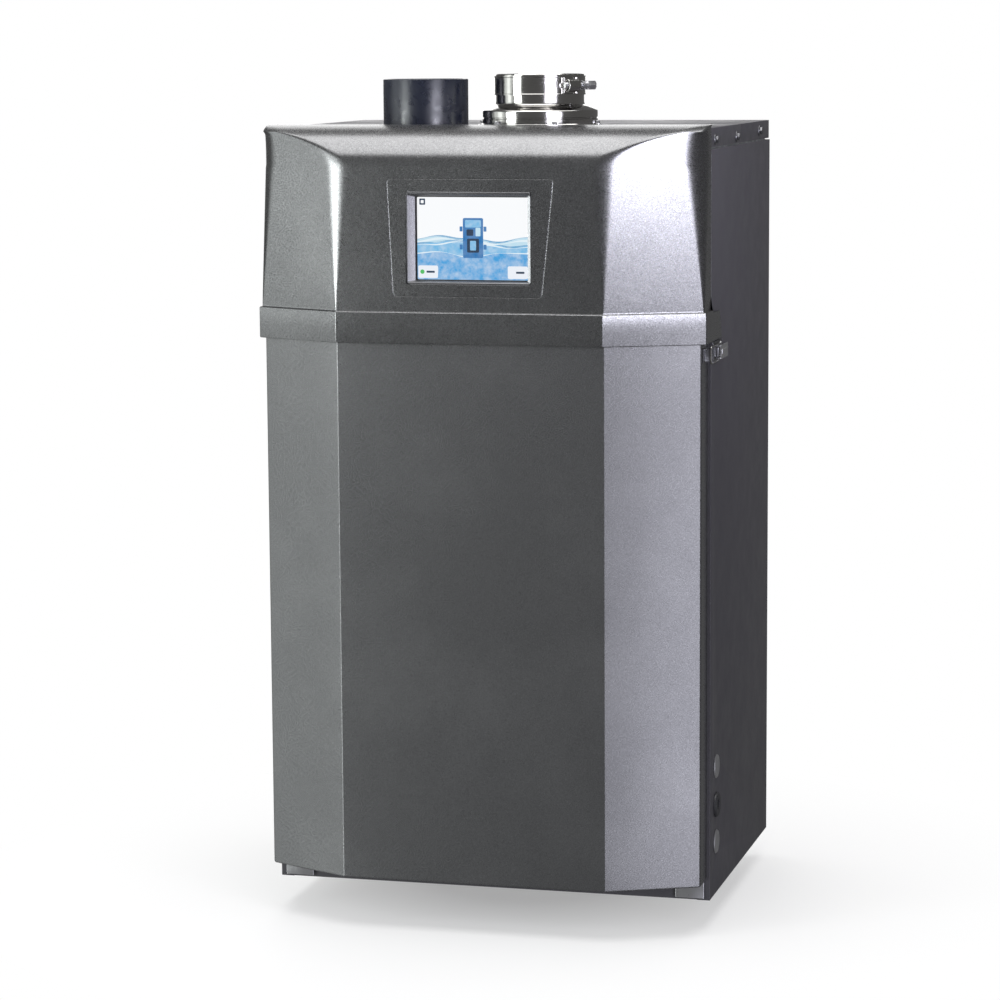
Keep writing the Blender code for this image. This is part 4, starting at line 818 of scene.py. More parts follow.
def build_screen(window):
    low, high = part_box("display_lens")
    glass = bmesh.new()
    shape = rounded_rect(high.x - low.x, high.z - low.z, 2 * MM)
    add_prism(glass, shape, ((0, low.y, (low.z + high.z) / 2), (1, 0, 0), (0, 0, 1)), high.y - low.y)
    sky = SCREEN["sky"]
    piece("lens", glass, "display_glass", "front_door", "display_lens", bevel=0.2 * MM, look=sky)
    left, right, bottom, top = window
    x0, x1, z0, z1 = left + 0.6 * MM, right - 0.6 * MM, bottom + 0.6 * MM, top - 0.6 * MM
    y = low.y - 0.15 * MM
    tall = z1 - z0
    far = [(2.2 * MM, 1.1, 2.6), (0.9 * MM, 2.7, 0.4)]
    middle = [(2.6 * MM, 0.9, 4.2), (0.8 * MM, 3.1, 1.4)]
    near = [(2.2 * MM, 1.3, 0.6), (0.7 * MM, 2.3, 3.0)]
    waters = (("water_far", far, 0.50), ("water_mid", middle, 0.44), ("water_near", near, 0.31))
    for layer, (name, swell, level) in enumerate(waters):
        outline = wave(x0, x1, z0, z0 + level * tall, swell)
        panel(name, outline, y - 0.13 * MM * layer, SCREEN[name])
    streaks = (
        ("crest", far, 0.503, 1.3), ("foam", far, 0.475, 2.0), ("crest", middle, 0.450, 1.5),
        ("foam", middle, 0.425, 1.2), ("foam", near, 0.315, 0.9)
    )
    for i, (look, swell, level, thick) in enumerate(streaks):
        outline = ripple(x0, x1, z0 + level * tall, swell, thick * MM)
        panel(f"ripple_{i}", outline, y - (0.39 + 0.13 * (i % 2)) * MM, SCREEN[look])
    build_symbols((x0, x1, z0, z1), y - 0.66 * MM)


def build_symbols(area, y):
    """Plain marks on the screen: a small drawing of the heater, a corner square and two foot buttons."""
    x0, x1, z0, z1 = area
    heater = ((x0 + x1) / 2 + 0.5 * MM, (z0 + z1) / 2 + 0.6 * MM)
    corner = (x0 + 6.0 * MM, z1 - 5.2 * MM)
    foot_left, foot_right = (x0 + 11.6 * MM, z0 + 8.2 * MM), (x1 - 11.6 * MM, z0 + 8.2 * MM)
    marks = [
        ("symbol_case", heater, 0, 0, 21.0, 40.0, "ink_blue", 1.6, 0),
        ("symbol_head", heater, 0, 14.2, 16.5, 7.4, "water_mid", 1.0, 0.13),
        ("symbol_fan", heater, -3.2, 5.4, 7.0, 6.4, "ink", 1.0, 0.13),
        ("symbol_valve", heater, 5.2, 6.0, 5.0, 8.4, "water_far", 0.6, 0.13),
        ("symbol_tank", heater, 0, -7.6, 12.4, 14.0, "ink", 1.2, 0.13),
        ("symbol_core", heater, 0, -7.6, 6.2, 9.6, "water_mid", 0.8, 0.26)
    ]
    for i, (dx, dz) in enumerate(((-12.4, 9.0), (12.4, 9.0), (-12.4, -9.0), (12.4, -9.0))):
        marks.append((f"symbol_port_{i}", heater, dx, dz, 3.0, 5.0, "ink_blue", 0.4, 0))
    marks.append(("symbol_corner", corner, 0, 0, 6.0, 6.2, "ink", 0.6, 0))
    marks.append(("symbol_corner_dot", corner, 0, 0, 3.0, 3.2, "sky", 0.5, 0.13))
    for name, foot in (("left", foot_left), ("right", foot_right)):
        marks.append((f"button_{name}", foot, 0, 0, 20.5, 12.6, "button", 1.4, 0))
        marks.append((f"button_mark_{name}", foot, 2.6, 0, 8.6, 2.0, "ink", 0.5, 0.13))
    marks.append(("button_dot", foot_left, -6, 0, 4.4, 4.4, "green", 2.1, 0.13))
    for name, at, dx, dz, wide, tall, look, radius, lift in marks:
        flat = rounded_rect(wide * MM, tall * MM, radius * MM, 3)
        outline = [(u + at[0] + dx * MM, v + at[1] + dz * MM) for u, v in flat]
        panel(name, outline, y - lift * MM, SCREEN[look])


# ---------------------------------------------------------------- vents on the top
TOP_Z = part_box("top_front_plate")[1].z


def build_intake():
    low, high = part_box("intake_collar")
    x, y, _ = middle("intake_collar")
    r, bore = 44.45 * MM, 38.95 * MM
    profile = mm((-0.9, 0), (-0.25, -0.3), (0, -1.0), at=(r, high.z))
    profile += mm((0, -0.8), (0.5, -1.6), (1.6, -2), (9.2, -2.2), at=(r, TOP_Z))
    profile += mm((10, -3), (10, -5.5), (0, -5.5), at=(r, TOP_Z)) + [(r, low.z)]
    profile += mm((1.5, 0), (0, 2), at=(bore, low.z)) + mm((0, -1.6), (1, 0), at=(bore, high.z))
    turned("intake", profile, (x, y, 0), 128, "pvc_black", stands_for="intake_collar", angle=30)


def build_exhaust():
    low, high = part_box("exhaust_adapter")
    x, y, _ = middle("exhaust_adapter")
    r, ring, flange, wall, spigot = 45.9 * MM, 60 * MM, 64 * MM, 1.3 * MM, 40.5 * MM
    profile = mm((-0.3, 0), (0, -0.4), at=(r, high.z)) + [(r, TOP_Z + 25 * MM)]
    for i in range(9):
        a = math.pi / 2 * i / 8
        profile += mm((2 - 2 * math.cos(a), 25 - 3 * math.sin(a)), at=(r, TOP_Z))
    for i in range(9):
        a = math.radians(27 + 63 * i / 8)
        profile += mm((2 * math.sin(a) - 2, 14.9 + 2 * math.cos(a)), at=(ring, TOP_Z))
    profile += mm((0, 9.4), (-0.9, 8.9), (-0.9, 7.9), at=(ring, TOP_Z))
    profile += mm((0, 7.4), (0, 2.9), (0.9, 2.05), at=(ring, TOP_Z))
    profile += mm((-0.3, 2), (0, 1.6), (0, 0.3), at=(flange, TOP_Z))
    profile += [(spigot, TOP_Z + 0.3 * MM), (spigot, low.z)]
    profile += [(spigot - wall, low.z), (spigot - wall, TOP_Z + 14 * MM), (r - wall, TOP_Z + 22 * MM)]
    profile += mm((0, -0.4), (0.3, 0), at=(r - wall, high.z))
    turned("exhaust", profile, (x, y, 0), 144, "stainless", stands_for="exhaust_adapter", angle=28)
    spots = around((x, y, TOP_Z + 1.6 * MM), 62 * MM, 6, -62)
    screws("exhaust_flange_screws", spots, (0, 0, 1), 2.6 * MM)


CLAMP_TURN = math.radians(-35)


def clamp_frame():
    """The worm's middle, the way it runs, and the way out of the band."""
    x, y, _ = middle("exhaust_adapter")
    outward = Vector((math.cos(CLAMP_TURN), math.sin(CLAMP_TURN), 0))
    along = Vector((-outward.y, outward.x, 0))
    return Vector((x, y, middle("clamp_band").z)), along, outward


def build_clamp():
    centre, along, outward = clamp_frame()
    low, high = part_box("clamp_band")
    inner = 46.2 * MM
    thick, edge = 0.9, 1.25
    profile = mm((0, 0), (edge, 0), (edge, 1.1), (thick, 1.6), at=(inner, low.z))
    profile += mm((thick, -1.6), (edge, -1.1), (edge, 0), (0, 0), at=(inner, high.z))
    at = (centre.x, centre.y, 0)
    band = turned("clamp", profile, at, 144, "stainless", stands_for="clamp_band", angle=25)
    slots = bmesh.new()
    for k in range(-13, 14):
        if abs(k) < 4:
            continue
        angle = CLAMP_TURN + k * math.radians(3.4)
        turn = Matrix.Translation(centre) @ Matrix.Rotation(angle, 4, "Z") @ Matrix.Rotation(0.13, 4, "X")
        add_box(slots, *mm((0.5, -0.55, -4.6), (3, 0.55, 4.6), at=(inner, 0, 0)), turn)
    cut(band, slots, 25)
    build_worm_housing(centre, along, outward)
    build_worm(centre, along, outward)


def build_worm_housing(centre, along, outward):
    """The housing that holds the worm on the band: an arched cover on a saddle with turned-up ends."""
    axis = centre + outward * 51.2 * MM
    placed = Matrix.Translation(axis) @ Matrix((along, outward, Vector((0, 0, 1)))).transposed().to_4x4()
    swing = [math.pi * i / 14 for i in range(1, 14)]
    arch = [(-6.4, -4.4), (-6.4, 0.8)] + [(-6.4 * math.cos(a), 0.8 + 4.1 * math.sin(a)) for a in swing]
    arch += [(6.4, 0.8), (6.4, -4.4)]
    bm = bmesh.new()
    ends = []
    for x, shrink in ((-7.8, 0.93), (-7.3, 1.0), (7.3, 1.0), (7.8, 0.93)):
        outline = mm(*((x, v * shrink, u * shrink) for u, v in arch))
        ends.append([bm.verts.new(placed @ Vector(p)) for p in outline])
    join(bm, ends)
    bm.faces.new(ends[0][::-1])
    bm.faces.new(ends[-1])
    housing = piece("clamp_housing", bm, "stainless", angle=30)
    bore = bmesh.new()
    spin = pointing(along)
    add_lathe(bore, mm((0, -12), (3.75, -12), (3.75, 12), (0, 12)), axis, 32, spin, closed=False)
    cut(housing, bore, 30)
    rounding(housing, 0.3 * MM)
    saddle = bmesh.new()
    for x in (-9.6, 7.8):
        add_box(saddle, *mm((x, -4.7, -8.6), (x + 1.8, -2.4, 8.6)), placed)
    piece("clamp_saddle", saddle, "stainless", bevel=0.4 * MM)


def build_worm(centre, along, outward):
    """The worm: a thread inside the housing, a collar, and a slotted hex head."""
    axis = centre + outward * 51.2 * MM
    spin = pointing(along)
    rides = {"body": "clamp_worm", "turn": spin, "closed": False, "angle": 30}
    profile = mm((0, -11), (2.4, -11))
    for k in range(10):
        profile += mm((2.5, 0), (3.2, 0.6), (3.2, 1), (2.5, 1.6), at=(0, (2.0 * k - 10.4) * MM))
    profile += mm((2.6, 11.8), (4.8, 11.8), (4.8, 13.5), (3.2, 13.6), (3.2, 18.5), (4.6, 19.6), (0, 19.7))
    turned("worm", profile, axis, 40, "zinc_steel", stands_for="clamp_screw", **rides)
    flat = mm((0, 19.2), (5.2, 19.2), (5.2, 28.6), (4.3, 30), (0, 30))
    hexagon = turned("worm_head", flat, axis, 6, "zinc_steel", **rides)
    slot = bmesh.new()
    add_box(slot, *mm((-6, -0.6, 28.2), (6, 0.6, 31)), Matrix.Translation(axis) @ spin)
    cut(hexagon, slot)
    rounding(hexagon, 0.25 * MM)


# ---------------------------------------------------------------- cabinet trim
def build_top_screws():
    """The screws through the top plates' side flanges. The left ones mirror the right ones."""
    left = bmesh.new()
    plain = {"bevel": 0.2 * MM, "look": LOOKS["dark_zinc"]}
    for name in ("front", "middle", "rear"):
        node = f"top_screw_{name}"
        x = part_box(node)[0].x
        _, y, z = middle(node)
        bm = bmesh.new()
        add_screw(bm, (x, y, z), (1, 0, 0), 4 * MM)
        piece(f"screw_{name}", bm, "zinc_steel", stands_for=node, **plain)
        add_screw(left, (-x, y, z), (-1, 0, 0), 4 * MM)
    piece("screws_left", left, "zinc_steel", **plain)


def build_side_entries():
    side = 0.232
    spin = Matrix.Rotation(math.pi / 2, 4, "Y")
    dish = mm((0, 1.2), (6.5, 1.25), (7.6, 1.9), (9.2, 2.2), (11.4, 1.7), (12.5, 0.5), (12.3, 0.1))
    dish += mm((10.8, 0.1), (10.7, -4.6), (9.9, -5), (9.4, -4.6), (9.4, -0.4), (0, -0.4))
    for level in ("upper", "lower"):
        node = f"knockout_plug_{level}"
        at = (side, *middle(node).yz)
        turned(f"plug_{level}", dish, at, 72, "zinc_steel", spin, False, stands_for=node, angle=25)
    ring = mm((6, 2.2), (6.9, 3), (11.6, 3), (12.6, 2.0), (12.9, 0.3))
    ring += mm((10.8, 0.3), (10.8, -13), (9.8, -14), (6.6, -14), (6, -13))
    at = (side, *middle("cord_bush").yz)
    turned("bush", ring, at, 72, "black_plastic", spin, stands_for="cord_bush", angle=25)


def build_latch_trim():
    """Rivets on the latch's base and the pressed rib along its lever."""
    x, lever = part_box("latch_lever")[1].x, middle("latch_lever")
    rib = bmesh.new()
    made = add_box(rib, *mm((-0.7, -14, -2.4), (0.7, 14, 2.4)))
    bmesh.ops.translate(rib, vec=(x, lever.y + 2 * MM, lever.z), verts=made)
    piece("lever_rib", rib, "zinc_steel", "latch_arm", bevel=0.6 * MM, segments=3)
    low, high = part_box("latch_base")
    spin = Matrix.Rotation(math.pi / 2, 4, "Y")
    dome = mm((0, -0.5), (2.6, -0.5), (2.2, 0.8), (1.2, 1.2), (0, 1.3))
    rivets = bmesh.new()
    for spot in mm((1, -16, 6), (1, -10, -6), at=(low.x, high.y, lever.z)):
        add_lathe(rivets, dome, spot, 28, spin, closed=False)
    piece("latch_rivets", rivets, "zinc_steel")


def build_pan_trim():
    """Grommets round the pipe stubs and screws under the base."""
    grommets = bmesh.new()
    gaps = (("supply_pipe", 14.3), ("return_pipe", 14.3), ("gas_pipe", 9.0), ("condensate_trap", 10.0))
    for node, gap in gaps:
        r = gap * MM
        x, y, _ = middle(node)
        if node != "condensate_trap":
            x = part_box(node)[0].x + r
        ring = mm((0.4, -1.6), (4.6, -2.2), (6.4, -0.6), (6.4, 0.1), (0.4, 0.1), at=(r, 0))
        add_lathe(grommets, ring, (x, y, 0), 64)
    piece("pipe_grommets", grommets, "rubber", angle=30)
    spots = [(x, y, 1.2 * MM) for x in (-0.20, 0.0, 0.20) for y in (-0.15, 0.142)]
    screws("pan_screws", spots, (0, 0, -1), 3.2 * MM)


# ---------------------------------------------------------------- inner works
def build_burner_trim():
    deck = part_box("burner_door")[1].z - 10 * MM
    x, y, _ = middle("burner_door")
    nuts = bmesh.new()
    for spot in around((x, y, deck), 82 * MM, 8, 22.5):
        nut(nuts, spot, (0, 0, 1), 10 * MM, 7 * MM)
    piece("burner_nuts", nuts, "zinc_steel", bevel=0.2 * MM)
    port = mm((0, 0), (11, 0), (11, 3), (9.5, 4.5), (7, 4.5), (6.4, 2.6), (0, 2.6))
    turned("sight_port", port, (x + 50 * MM, y + 34 * MM, deck), 48, "brass", closed=False, angle=30)
    ribs = bmesh.new()
    for k in range(8):
        turn = Matrix.Translation((x, y, 0)) @ Matrix.Rotation(math.tau * k / 8, 4, "Z")
        add_box(ribs, *mm((31, -1.6, -0.5), (76, 1.6, 4), at=(0, 0, deck)), turn)
    piece("burner_ribs", ribs, "cast_aluminium", bevel=1.2 * MM, segments=3)
    boot = bmesh.new()
    x, y, _ = middle("igniter")
    path = mm((0, 0, -6), (0, 0, 14), (18, -12, 30), at=(x, y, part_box("igniter")[1].z))
    add_tube(boot, rounded(path, 12 * MM), lambda t: (5.2 - 2.2 * min(1.0, t * 2)) * MM, 20)
    piece("spark_boot", boot, "rubber")
    flange = bmesh.new()
    for spot in mm((-15, 0, 0), (15, 0, 0), at=(x, y, deck)):
        nut(flange, spot, (0, 0, 1), 7 * MM, 5 * MM)
    piece("igniter_nuts", flange, "zinc_steel", bevel=0.15 * MM)


def build_exchanger_trim():
    """Weld beads, a clamped band of foil-faced wool, and the sensors on the jacket."""
    x, y, _ = middle("fire_tube_bundle")
    r = 88 * MM
    low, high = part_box("heat_exchanger")
    beads = bmesh.new()
    for z in (low.z + 6 * MM, low.z + 96 * MM, high.z - 70 * MM, high.z - 12 * MM):
        ring = mm((-0.3, -2), (0.5, -1), (0.8, 0), (0.5, 1), (-0.3, 2), at=(r, z))
        add_lathe(beads, ring, (x, y, 0), 96)
    piece("weld_beads", beads, "stainless")
    z0, z1 = low.z + 110 * MM, high.z - 84 * MM
    rows = [(r + 0.2 * MM, z0)]
    for k in range(31):
        swell = (3.0 + 0.7 * math.sin(k * 2.4)) * MM
        rows.append((r + swell, z0 + 2 * MM + (z1 - z0 - 4 * MM) * k / 30))
    rows.append((r + 0.2 * MM, z1))
    look = cloth_wrap("foil_wrap", (0.62, 0.63, 0.64))
    turned("foil_wrap", rows, (x, y, 0), 96, "galvanised", angle=60, look=look)
    straps = bmesh.new()
    for z in (z0 + 30 * MM, z1 - 30 * MM):
        hose_clip(straps, (x, y, z), r + 3.9 * MM, math.pi, 11 * MM)
    piece("wrap_straps", straps, "zinc_steel", bevel=0.2 * MM)
    sensors = bmesh.new()
    for z in (low.z + 62 * MM, high.z - 40 * MM):
        nut(sensors, (x - 20 * MM, y - r * 0.965, z), (-0.22, -1, 0), 12 * MM, 8 * MM)
    piece("sensors", sensors, "brass", bevel=0.2 * MM)


def build_air_trim():
    """Clips on the intake hose, screws round the blower's case, and the motor's fins."""
    low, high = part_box("intake_hose")
    clips = bmesh.new()
    upper = (*middle("intake_collar").xy, high.z - 8 * MM)
    lower = (*middle("venturi").xy, low.z + 8 * MM)
    hose_clip(clips, upper, 24.2 * MM, 2.6)
    hose_clip(clips, lower, 24.2 * MM, 2.2)
    piece("hose_clips", clips, "zinc_steel", bevel=0.2 * MM)
    x, y, _ = middle("blower_impeller")
    low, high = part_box("blower_housing")
    spots = [*around((x, y, high.z - 0.4 * MM), 54 * MM, 6, 10)]
    spots += around((x, y, high.z + 4 * MM), 29 * MM, 4, 45)
    screws("blower_screws", spots, (0, 0, 1), 2.4 * MM, 0.12 * MM)
    lugs = bmesh.new()
    profile = mm((0, -18), (4.4, -18), (4.4, 18), (2.64, 19), (0, 19))
    for spot in around((x, y, (low.z + high.z) / 2), 67 * MM, 6, 40):
        if spot.x < low.x + 120 * MM:
            add_lathe(lugs, profile, spot, 28, closed=False)
    piece("blower_lugs", lugs, "cast_aluminium", bevel=0.3 * MM)
    low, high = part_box("blower_motor")
    fins = bmesh.new()
    fin = ((33 * MM, -0.9 * MM, low.z + 6 * MM), (35.6 * MM, 0.9 * MM, high.z - 5 * MM))
    for k in range(24):
        turn = Matrix.Translation((x, y, 0)) @ Matrix.Rotation(math.tau * k / 24, 4, "Z")
        add_box(fins, *fin, turn)
    piece("motor_fins", fins, "black_plastic", bevel=0.3 * MM)
    build_gas_trim()


def build_gas_trim():
    """The gas valve's test taps and cover screws, and the union under it."""
    low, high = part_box("gas_valve")
    taps = bmesh.new()
    corner = (low.x, low.y, high.z - 28 * MM)
    for spot in mm((8, 10, 0), (20, 10, 0), (8, 55, 0), at=corner):
        nut(taps, spot, (0, 0, 1), 5 * MM, 5 * MM)
    for spot in mm((14, 0, -20), (34, 0, -20), (54, 0, -20), at=corner):
        add_screw(taps, spot, (0, -1, 0), 2.2 * MM)
    piece("valve_taps", taps, "brass", bevel=0.12 * MM)
    profile = mm((9.2, -12), (16, -12), (17, -10.5), (17, 5), (15, 6.5), (9.2, 6.5))
    at = (*middle("gas_pipe").xy, low.z - 8 * MM)
    turned("gas_union", profile, at, 6, "brass", bevel=0.4 * MM)


def build_water_trim():
    """Union nuts on the water pipes, the condensate trap's cap and the flue's sleeves."""
    nuts = bmesh.new()
    across = Matrix.Rotation(math.pi / 2, 4, "Y")
    ring = mm((14.5, -9), (21, -9), (22, -7.6), (22, 8), (20, 9.4), (14.5, 9.4))
    for node in ("supply_pipe", "return_pipe"):
        low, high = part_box(node)
        y = middle(node).y
        add_lathe(nuts, ring, (high.x - 14 * MM, y, high.z - 14.3 * MM), 6, across)
        for height in (14 * MM, 52 * MM):
            add_lathe(nuts, ring, (low.x + 14.3 * MM, y, height), 6)
    piece("pipe_unions", nuts, "brass", bevel=0.5 * MM)
    x, y, _ = middle("condensate_trap")
    cap = bmesh.new()
    profile = mm((27.2, 52), (29.6, 53), (29.6, 66), (28.2, 67.5), (27.2, 67.5))
    add_lathe(cap, profile, (x, y, 0), 72)
    for spot in around((x, y, 59.5 * MM), 29.6 * MM, 20):
        turn = Matrix.Rotation(math.atan2(spot.y - y, spot.x - x), 4, "Z")
        add_box(cap, *mm((-1.1, -0.9, -6), (1.1, 0.9, 6)), Matrix.Translation(spot) @ turn)
    piece("trap_cap", cap, "black_plastic", angle=40)
    sleeve = bmesh.new()
    profile = mm((38.2, -20), (41, -20), (42.4, -18), (42.4, -12), (41, -10))
    profile += mm((41, 10), (42.4, 12), (42.4, 18), (41, 20), (38.2, 20))
    for z in (0.165, 0.735):
        add_lathe(sleeve, profile, (*middle("flue_riser").xy, z), 96)
    piece("flue_sleeves", sleeve, "grey_plastic", angle=30)


def build_board_trim():
    """Connectors, capacitors and terminal blocks on the control board and the display's board."""
    low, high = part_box("control_board")
    face = high.y - 1.6 * MM
    corner = (low.x, face, low.z)
    blocks, caps, whites = bmesh.new(), bmesh.new(), bmesh.new()
    for k in range(10):
        x = 8 + 6.4 * k
        add_box(blocks, *mm((x, -11, 4), (x + 5.6, 0.2, 16), at=corner))
    cans = ((52, 60, 5, 18), (64, 60, 5, 18), (58, 90, 7, 22), (44, 112, 4, 12), (68, 120, 4, 12))
    turn = Matrix.Rotation(math.pi / 2, 4, "X")
    for dx, dz, r, tall in cans:
        profile = mm((0, 0), (r, 0), (r, tall - 1), (r - 0.6, tall), (0, tall))
        add_lathe(caps, profile, *mm((dx, 0, dz), at=corner), 32, turn, closed=False)
    for dx, dz, wide in ((8, 206, 22), (36, 206, 30), (8, 150, 14), (60, 160, 16), (60, 186, 16)):
        add_box(whites, *mm((dx, -8, dz), (dx + wide, 0.2, dz + 8), at=corner))
    piece("terminals", blocks, "black_plastic", bevel=0.3 * MM, look=LOOKS["terminal_green"])
    piece("capacitors", caps, "black_plastic", bevel=0.3 * MM)
    piece("connectors", whites, "ceramic", bevel=0.3 * MM)
    low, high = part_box("display_board")
    rear = bmesh.new()
    corner = (low.x, high.y, low.z)
    for dx, dz, wide, tall in ((20, 70, 26, 22), (60, 64, 34, 10), (70, 30, 16, 16), (100, 60, 14, 26)):
        add_box(rear, *mm((dx, -4.6, dz), (dx + wide, -1.6, dz + tall), at=corner))
    piece("display_chips", rear, "black_plastic", "front_door", bevel=0.3 * MM)


def build_wiring():
    """Looms from the control box to the blower, valve, igniter and flow switch, and the cord's tail."""
    low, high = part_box("control_box")
    box = Vector((low.x + 12 * MM, high.y - 40 * MM, high.z - 4 * MM))
    motor, valve = middle("blower_motor"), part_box("gas_valve")[0]
    igniter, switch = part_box("igniter"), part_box("flow_switch")[0]
    to_blower = [box, *mm((0, 0, 50), at=box), (0.02, -0.115, 0.565), (-0.10, -0.090, 0.562)]
    to_blower += [(motor.x, motor.y - 20 * MM, 0.562), (motor.x, motor.y - 26 * MM, 0.575)]
    to_valve = mm((14, 0, 0), (14, 4, 75), at=box)
    to_valve += [(0.02, -0.128, 0.602), (-0.14, -0.120, 0.612), (-0.196, -0.060, 0.640)]
    to_valve += mm((20, -4, 668), (20, 4, 668), at=(valve.x, valve.y, 0))
    to_spark = mm((30, 0, 0), (30, 10, 80), at=box)
    to_spark.append((igniter[1].x + 30 * MM, igniter[0].y - 30 * MM, 0.640))
    to_spark += mm((7, -1, 30), at=(igniter[1].x, igniter[0].y, igniter[1].z))
    to_switch = mm((2, 4, -10), at=box) + [(0.118, -0.070, 0.35), (0.110, -0.120, 0.16)]
    to_switch += [(0.0, -0.140, 0.060), (-0.11, -0.120, 0.060)]
    to_switch += mm((17, -30, 90), (17, 2, 112), at=(switch.x, switch.y, 0))
    inlet = mm((222, -134, 94.5), (205, -134, 94.5), (196, -128, 130), (190, -110, 172))
    runs = {
        "loom_blower": (to_blower, 3.2, "rubber"), "loom_valve": (to_valve, 2.6, "rubber"),
        "loom_spark": (to_spark, 3.4, "relief_red"), "loom_switch": (to_switch, 2.4, "rubber"),
        "loom_inlet": (inlet, 3.6, "black_plastic")
    }
    for name, (path, radius, slot) in runs.items():
        bm = bmesh.new()
        add_tube(bm, rounded(path, 26 * MM, 8), radius * MM)
        piece(name, bm, slot)
    ties = bmesh.new()
    ring = mm((3.2, -1.4), (4.4, -1.4), (4.4, 1.4), (3.2, 1.4))
    spots = {to_blower[2]: (1, 0.1, 0), to_valve[2]: (1, 0.05, 0.05), (0.055, -0.131, 0.110): (1, 0.2, 1)}
    for at, axis in spots.items():
        add_lathe(ties, ring, at, 40, pointing(axis))
    piece("cable_ties", ties, "ceramic")


def build_door_lining():
    """Sound foam inside the cover's middle facet."""
    bm = bmesh.new()
    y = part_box("front_cover")[0].y + 1.4 * MM
    outline = rounded_rect(0.24, 0.50, 8 * MM)
    add_prism(bm, outline, ((0, y, 0.31), (1, 0, 0), (0, 0, 1)), 8 * MM)
    piece("door_foam", bm, "rubber", "front_door", bevel=1.5 * MM, segments=3, look=LOOKS["foam"])


def build_back_trim():
    """Bolts in the hanging rail, screws in the back panel, and a blank rating plate on the left side."""
    low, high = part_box("hanging_rail")
    spots = [(x, low.y + 4.6 * MM, high.z - 12 * MM) for x in (-0.16, -0.06, 0.06, 0.16)]
    screws("rail_bolts", spots, (0, 1, 0), 3.0 * MM)
    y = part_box("back_panel")[1].y - 10 * MM
    spots = [(x, y, z) for x in (-0.21, -0.07, 0.07, 0.21) for z in (0.02, 0.60)]
    screws("back_screws", spots, (0, 1, 0), 2.8 * MM)
    plate = bmesh.new()
    place = ((-0.2321, 0.02, 0.66), (0, -1, 0), (0, 0, 1))
    add_prism(plate, rounded_rect(0.092, 0.060, 3 * MM), place, 0.7 * MM)
    piece("rating_plate", plate, "zinc_steel", bevel=0.15 * MM, look=LOOKS["label"])
    marks = bmesh.new()
    edge = 0.056
    for k, wide in enumerate((70, 54, 62, 40, 66, 30)):
        z = 0.680 - 0.0075 * k
        add_box(marks, (-0.2331, edge - wide * MM, z - 1.2 * MM), (-0.2327, edge, z + 1.2 * MM))
    piece("rating_bars", marks, "black_plastic")


# ---------------------------------------------------------------- CAD nodes that keep their shape
def dress(node, slot, look=None):
    """Gives a CAD node its look, with its edges eased and its curved faces smooth."""
    obj = frame["nodes"][node]
    obj.data.materials.clear()
    obj.data.materials.append(look or LOOKS[slot])
    weld = obj.modifiers.new("weld", "WELD")
    weld.merge_threshold = 1e-6
    flat = obj.modifiers.new("flat", "DECIMATE")
    flat.decimate_type = "DISSOLVE"
    flat.angle_limit = math.radians(1)
    rounding(obj, 0.4 * MM)
    obj.data.shade_smooth()


DULL = {"latch_base": LOOKS["dark_zinc"], "latch_keeper": LOOKS["dark_zinc"]}


def dress_all():
    for entry in frame["record"]["subparts"]:
        node = entry["node"]
        if not frame["nodes"][node].hide_render:
            dress(node, entry["material_slot"], look=DULL.get(node))


# ---------------------------------------------------------------- stage
def studio():
    floor = bmesh.new()
    bmesh.ops.create_grid(floor, x_segments=1, y_segments=1, size=12.0)
    mesh = bpy.data.meshes.new("floor")
    floor.to_mesh(mesh)
    floor.free()
    obj = bpy.data.objects.new("floor", mesh)
    obj.location = (0, 0, CAD_BOX[0][2] - 1 * MM)
    SCENE.collection.objects.link(obj)
    s = Shader("floor", (0.92, 0.92, 0.92), 0.7)
    ray = s.add("ShaderNodeLightPath").outputs["Is Camera Ray"]
    under = s.add("ShaderNodeNewGeometry").outputs["Backfacing"]
    seen = s.math("SUBTRACT", ray, under, clamp=True)
    s.set("Base Color", s.mix(s.noise(3.0), (0.90, 0.90, 0.90), (0.94, 0.94, 0.94)))
    away = s.add("ShaderNodeVectorMath", {0: s.place}, operation="LENGTH").outputs["Value"]
    glow = s.add("ShaderNodeEmission", {"Color": (1, 1, 1, 1), "Strength": 1.0}).outputs[0]
    near = s.span(away, 0.1, 0.62, 0.35, 1.0)
    shown = s.add("ShaderNodeMixShader", {0: near, 1: s.surface.outputs[0], 2: glow}).outputs[0]
    clear = s.add("ShaderNodeBsdfTransparent").outputs[0]
    blend = s.add("ShaderNodeMixShader", {0: seen, 1: clear, 2: shown}).outputs[0]
    s.tree.links.new(blend, s.tree.nodes["Material Output"].inputs["Surface"])
    mesh.materials.append(s.material)


LEFT_TINT = (0.95, 1.0, 0.985)
RIGHT_TINT = (0.93, 0.93, 1.06)


def light(name, at, aim, size, radiance, tint=(1.0, 1.0, 1.0), spread=180.0):
    """A soft rectangle seen in reflections but not by the camera. radiance is what a mirror would show."""
    data = bpy.data.lights.new(name, "AREA")
    data.shape = "RECTANGLE"
    data.size, data.size_y = size
    data.energy = radiance * math.pi * size[0] * size[1]
    if spread < 180.0:
        half = math.radians(spread) / 2
        data.spread = 2 * half
        data.energy *= 1 - half / math.tan(half)
    data.color = tint
    obj = bpy.data.objects.new(name, data)
    obj.location = at
    obj.rotation_euler = (Vector(aim) - Vector(at)).to_track_quat("-Z", "Y").to_euler()
    obj.visible_camera = False
    SCENE.collection.objects.link(obj)


def soft_box(name, azimuth, distance, height, size, radiance, tint):
    """A light beside the front, at an azimuth in degrees from straight ahead, positive to the right."""
    a = math.radians(azimuth)
    at = (distance * math.sin(a), -distance * math.cos(a), height)
    light(name, at, (0, 0, height), size, radiance, tint)


